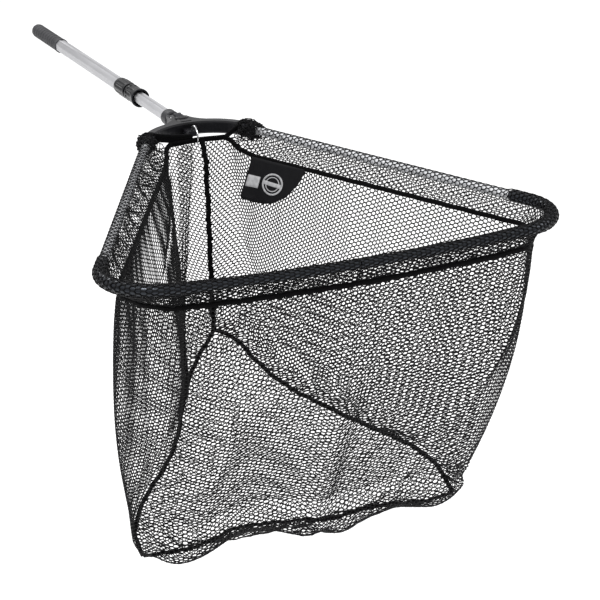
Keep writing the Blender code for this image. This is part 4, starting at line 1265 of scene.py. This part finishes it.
def add_tapes(side, tag):
    # hem from the chord's end under the arm and round to the front's centre
    chord_end = evenly(CHORD, np.linspace(0.55, 1, 12))
    hem = np.concatenate([chord_end, hem_point(np.linspace(HEM_START, HALF_LENGTH, 120))])
    hem = evenly(rounded(hem, 3), np.linspace(0, 1, 150))
    hem[-1, 0] = 0.0
    ribbon("tape_hem_" + tag, hem, (0.25, 0, 1.0), 0.0040, 0.0031, 0.0007, side,
           ["hem_" + tag] + once(side, "hem_front"))
    # the chord through the ring
    chord = evenly(CHORD, np.linspace(0, 0.62, 24))
    ribbon("tape_chord_" + tag, chord, (0, 0.25, 1.0), 0.0048, 0.0024, 0.0004, side,
           once(side, "hem_chord"))
    # strap from the chord up to the knuckle
    strap, half = (STRAP_LEFT, 0.0078) if side > 0 else (STRAP_RIGHT, 0.0046)
    strap = evenly(rounded(strap, 1), np.linspace(0, 1, 16))
    ribbon("strap_knuckle_" + tag, strap, (0.5, 0.2, 1.0), half, 0.0028, 0.0005, side)
    # base edges
    edge = evenly(base_side(side), np.linspace(0, 1, 110))
    ribbon("tape_base_side_" + tag, edge, (0.7, -0.35, 0.6), side=side,
           nodes=["tape_base_" + tag], **BASE_TAPE)
    edge = evenly(front_half(side), np.linspace(0, 1, 90))
    edge[-1, 0] = 0.0
    ribbon("tape_base_edge_" + tag, edge, (0, 0.75, 0.65), side=side,
           nodes=once(side, "tape_base_front"), **BASE_TAPE)


def add_back_seam():
    """On the centre plane, so it rides on the head."""
    line = evenly(wall[:, 0] + np.array([0, 0.001, 0]), np.linspace(0, 1, 90))
    along = directions(line)
    k = np.arange(90)
    line[:, 0] += 0.0007 * np.sin(k * 1.1) + 0.0005 * np.sin(k * 0.37)
    across = np.array([1.0, 0, 0])
    half = (0.0046 + 0.0006 * np.sin(k * 2.1))[:, None]
    rings = tape_rings(line, across, np.cross(along, across), half, 0.0020)
    seam = loft("tape_back_seam", to_row(rings), TAPE)
    register(["seam_back"])
    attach(seam, "head")


def add_front_tube(side, tag):
    straight = np.linspace(TUBE_START, ARM_LENGTH, 12)
    along = np.concatenate([straight, np.linspace(ARM_LENGTH, HALF_LENGTH, 90)[1:]])
    points, outward = frame_at(along)
    radius = tube_radius(along)
    radius[0] *= 0.93
    angle = np.arange(20) * 2 * math.pi / 20
    rings = points[:, None] + outward[:, None] * (radius[:, None] * np.cos(angle))[..., None]
    rings[:, :, 2] += radius[:, None] * np.sin(angle)
    tube = loft("tube_front_" + tag, rings, TUBE)
    place(tube, side, once(side, "front_tube"))


for side, tag in SIDES:
    add_tapes(side, tag)
add_back_seam()
for side, tag in SIDES:
    add_front_tube(side, tag)

# ======================================================================= cloth tab, right arm
# The tab's depth by distance along the arm
TAB_ALONG = [0.044, 0.048, 0.070, 0.098, 0.122, 0.144, 0.160, 0.167]
TAB_DEPTH = [0.060, 0.065, 0.068, 0.0655, 0.0595, 0.047, 0.025, 0.006]
MARK_OFF, BAR_OFF = 0.0012, 0.0014  # how far the marks stand inside the tab's middle
MARK_THICK = 0.0003


def tab_points(along, down, off=0.0):
    """Points on the tab, along the hem and down from it, as if on the left arm."""
    inward = lean(along) + 0.0042 + off + 0.5 * down + 0.0022 * np.sin(along * 60) * down / 0.05
    points = PIVOT + ARM_DIR * along[..., None] - ARM_OUT * inward[..., None]
    points[..., 2] += -0.0318 - down
    return points


def sheet(name, grid, thick, material, nodes=()):
    """A thin closed sheet on the right arm."""
    offset = normals(grid) * thick / 2
    verts = np.concatenate([(grid + offset).reshape(-1, 3), (grid - offset).reshape(-1, 3)])
    m, n = grid.shape[:2]
    faces = []
    for i in range(m - 1):
        for j in range(n - 1):
            quad = [i * n + j, (i + 1) * n + j, (i + 1) * n + j + 1, i * n + j + 1]
            faces += [quad, [m * n + x for x in quad[::-1]]]
    edge = [i * n for i in range(m)] + [(m - 1) * n + j for j in range(1, n)]
    edge += [i * n + n - 1 for i in range(m - 2, -1, -1)] + list(range(n - 2, 0, -1))
    for i, j in zip(edge, edge[1:] + edge[:1]):
        faces.append([i, m * n + i, m * n + j, j])
    ob = quad_object(name, to_row(sided(verts, -1)), faces, material)
    register(nodes)
    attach(ob, "right_arm")


def printed_block(name, start, size, counts, off):
    """A rectangle on the tab; pairs are along the hem and down."""
    x, y = np.meshgrid(*(np.linspace(0, 1, count) for count in counts), indexing="ij")
    grid = tab_points(start[0] + size[0] * x, start[1] + size[1] * y, off)
    sheet(name, grid, MARK_THICK, PRINT)


def printed_ring(name, inner, outer):
    """An oval band on the tab; inner and outer are fractions of the full oval."""
    angle, k = np.meshgrid(np.linspace(0, 2 * math.pi, 49), [inner, outer], indexing="ij")
    along, down = 0.107 + 0.0245 * k * np.cos(angle), 0.033 + 0.0165 * k * np.sin(angle)
    sheet(name, tab_points(along, down, MARK_OFF), MARK_THICK, PRINT)


along, down = np.meshgrid(np.linspace(0.045, 0.167, 34), np.linspace(0, 1, 14), indexing="ij")
down = np.interp(along, TAB_ALONG, TAB_DEPTH) * down
sheet("tab", tab_points(along, down), 0.0012, CLOTH, ["label"])
printed_block("tab_mark_block", (0.049, 0.027), (0.027, 0.018), counts=(7, 5), off=MARK_OFF)
printed_ring("tab_mark_ring", 0.84, 1.0)
printed_ring("tab_mark_inner", 0.60, 0.68)
printed_block("tab_mark_bar", (0.086, 0.030), (0.042, 0.006), counts=(9, 4), off=BAR_OFF)

# ======================================================================= CAD pieces kept
LOOKS = {
    "grip": GRIP, "outer_tube": ALUMINIUM, "inner_tube": ALUMINIUM, "lock_body": BLACK,
    "lock_nut": BLACK, "lock_collet": GREY, "guide_bush": BLACK, "socket": GREY, "yoke": BLACK,
    "push_button": BUTTON, "hinge_pin": STEEL, "pivot_pin_left": STEEL, "pivot_pin_right": STEEL,
    "hem_ring": STEEL, "arm_left": ARM_ALUMINIUM, "arm_right": ARM_ALUMINIUM,
    "arm_eye_left": STEEL, "arm_eye_right": STEEL, "rivet_left": BLACK, "rivet_right": BLACK,
}
for name, material in LOOKS.items():
    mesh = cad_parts[name].data
    mesh.materials.clear()
    mesh.materials.append(material)
    for polygon in mesh.polygons:
        polygon.use_smooth = True
    mesh.set_sharp_from_angle(angle=math.radians(32))


# ======================================================================= stage, light, camera
def add_floor():
    """A pale, faintly glowing floor below everything."""
    mesh = bpy.data.meshes.new("floor")
    mesh.from_pydata([(-9, -9, 0), (9, -9, 0), (9, 9, 0), (-9, 9, 0)], [], [(0, 1, 2, 3)])
    floor = bpy.data.objects.new("floor", mesh)
    floor.location = (0, 0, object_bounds()[0].z - 0.25)
    bpy.context.scene.collection.objects.link(floor)
    s = material_shader("floor_pale")
    s.set({
        "Base Color": s.mottle(s.coords(), 1.5, 2, (0.93, 0.93, 0.93), (0.96, 0.96, 0.96)),
        "Roughness": 0.95,
        "Emission Color": (1, 1, 1, 1),
        "Emission Strength": 0.22,
    })
    mesh.materials.append(s.owner)


def add_world():
    """White to the camera; what lights the object is bright overhead and dim at the sides."""
    world = bpy.data.worlds.new("studio")
    bpy.context.scene.world = world
    s = Shader(world, "Background")
    camera_ray = s.add("LightPath", {}).outputs["Is Camera Ray"]
    height = s.map_range(s.axis("Generated", "Z"), 0.0, 1.0, from_low=-1.0, from_high=1.0)
    sky = s.ramp(height, [
        (0.0, (0.45, 0.45, 0.46)), (0.50, (0.30, 0.30, 0.31)), (0.66, (0.70, 0.70, 0.71)),
        (0.80, (1.0, 1.0, 1.0)), (1.0, (1.0, 1.0, 1.0)),
    ])
    s.set({"Strength": 1.0, "Color": s.mix(camera_ray, sky, (1, 1, 1))})


def area(name, location, size, power):
    """A disk light aimed at the head."""
    light = bpy.data.lights.new(name, "AREA")
    light.shape, light.size, light.energy = "DISK", size, power
    ob = bpy.data.objects.new(name, light)
    ob.location = location
    aim = Vector((0.0, 1.2, 0.0)) - Vector(location)
    ob.rotation_euler = aim.to_track_quat("-Z", "Y").to_euler()
    bpy.context.scene.collection.objects.link(ob)


def add_camera():
    data = bpy.data.cameras.new("camera")
    data.sensor_width = 36.0
    data.lens = 132.65
    data.clip_start, data.clip_end = 0.05, 60
    camera = bpy.data.objects.new("camera", data)
    right = Vector((-0.92851, 0.36824, -0.04762)).normalized()
    back = Vector((0.33484, 0.88583, 0.32122)).normalized()
    up = back.cross(right).normalized()
    right = up.cross(back).normalized()
    place_ = (1.14272, 4.50935, 0.93634)
    camera.matrix_world = Matrix((*zip(right, up, back, place_), (0, 0, 0, 1)))
    bpy.context.scene.collection.objects.link(camera)
    bpy.context.scene.camera = camera


add_floor()
bpy.context.scene.view_settings.view_transform = "Standard"
add_world()
area("key", (1.6, 2.6, 2.6), size=1.0, power=45)
area("fill", (-2.4, 2.2, 1.4), size=1.6, power=15)
area("rim", (0.4, -1.8, 2.2), size=1.2, power=20)
add_camera()
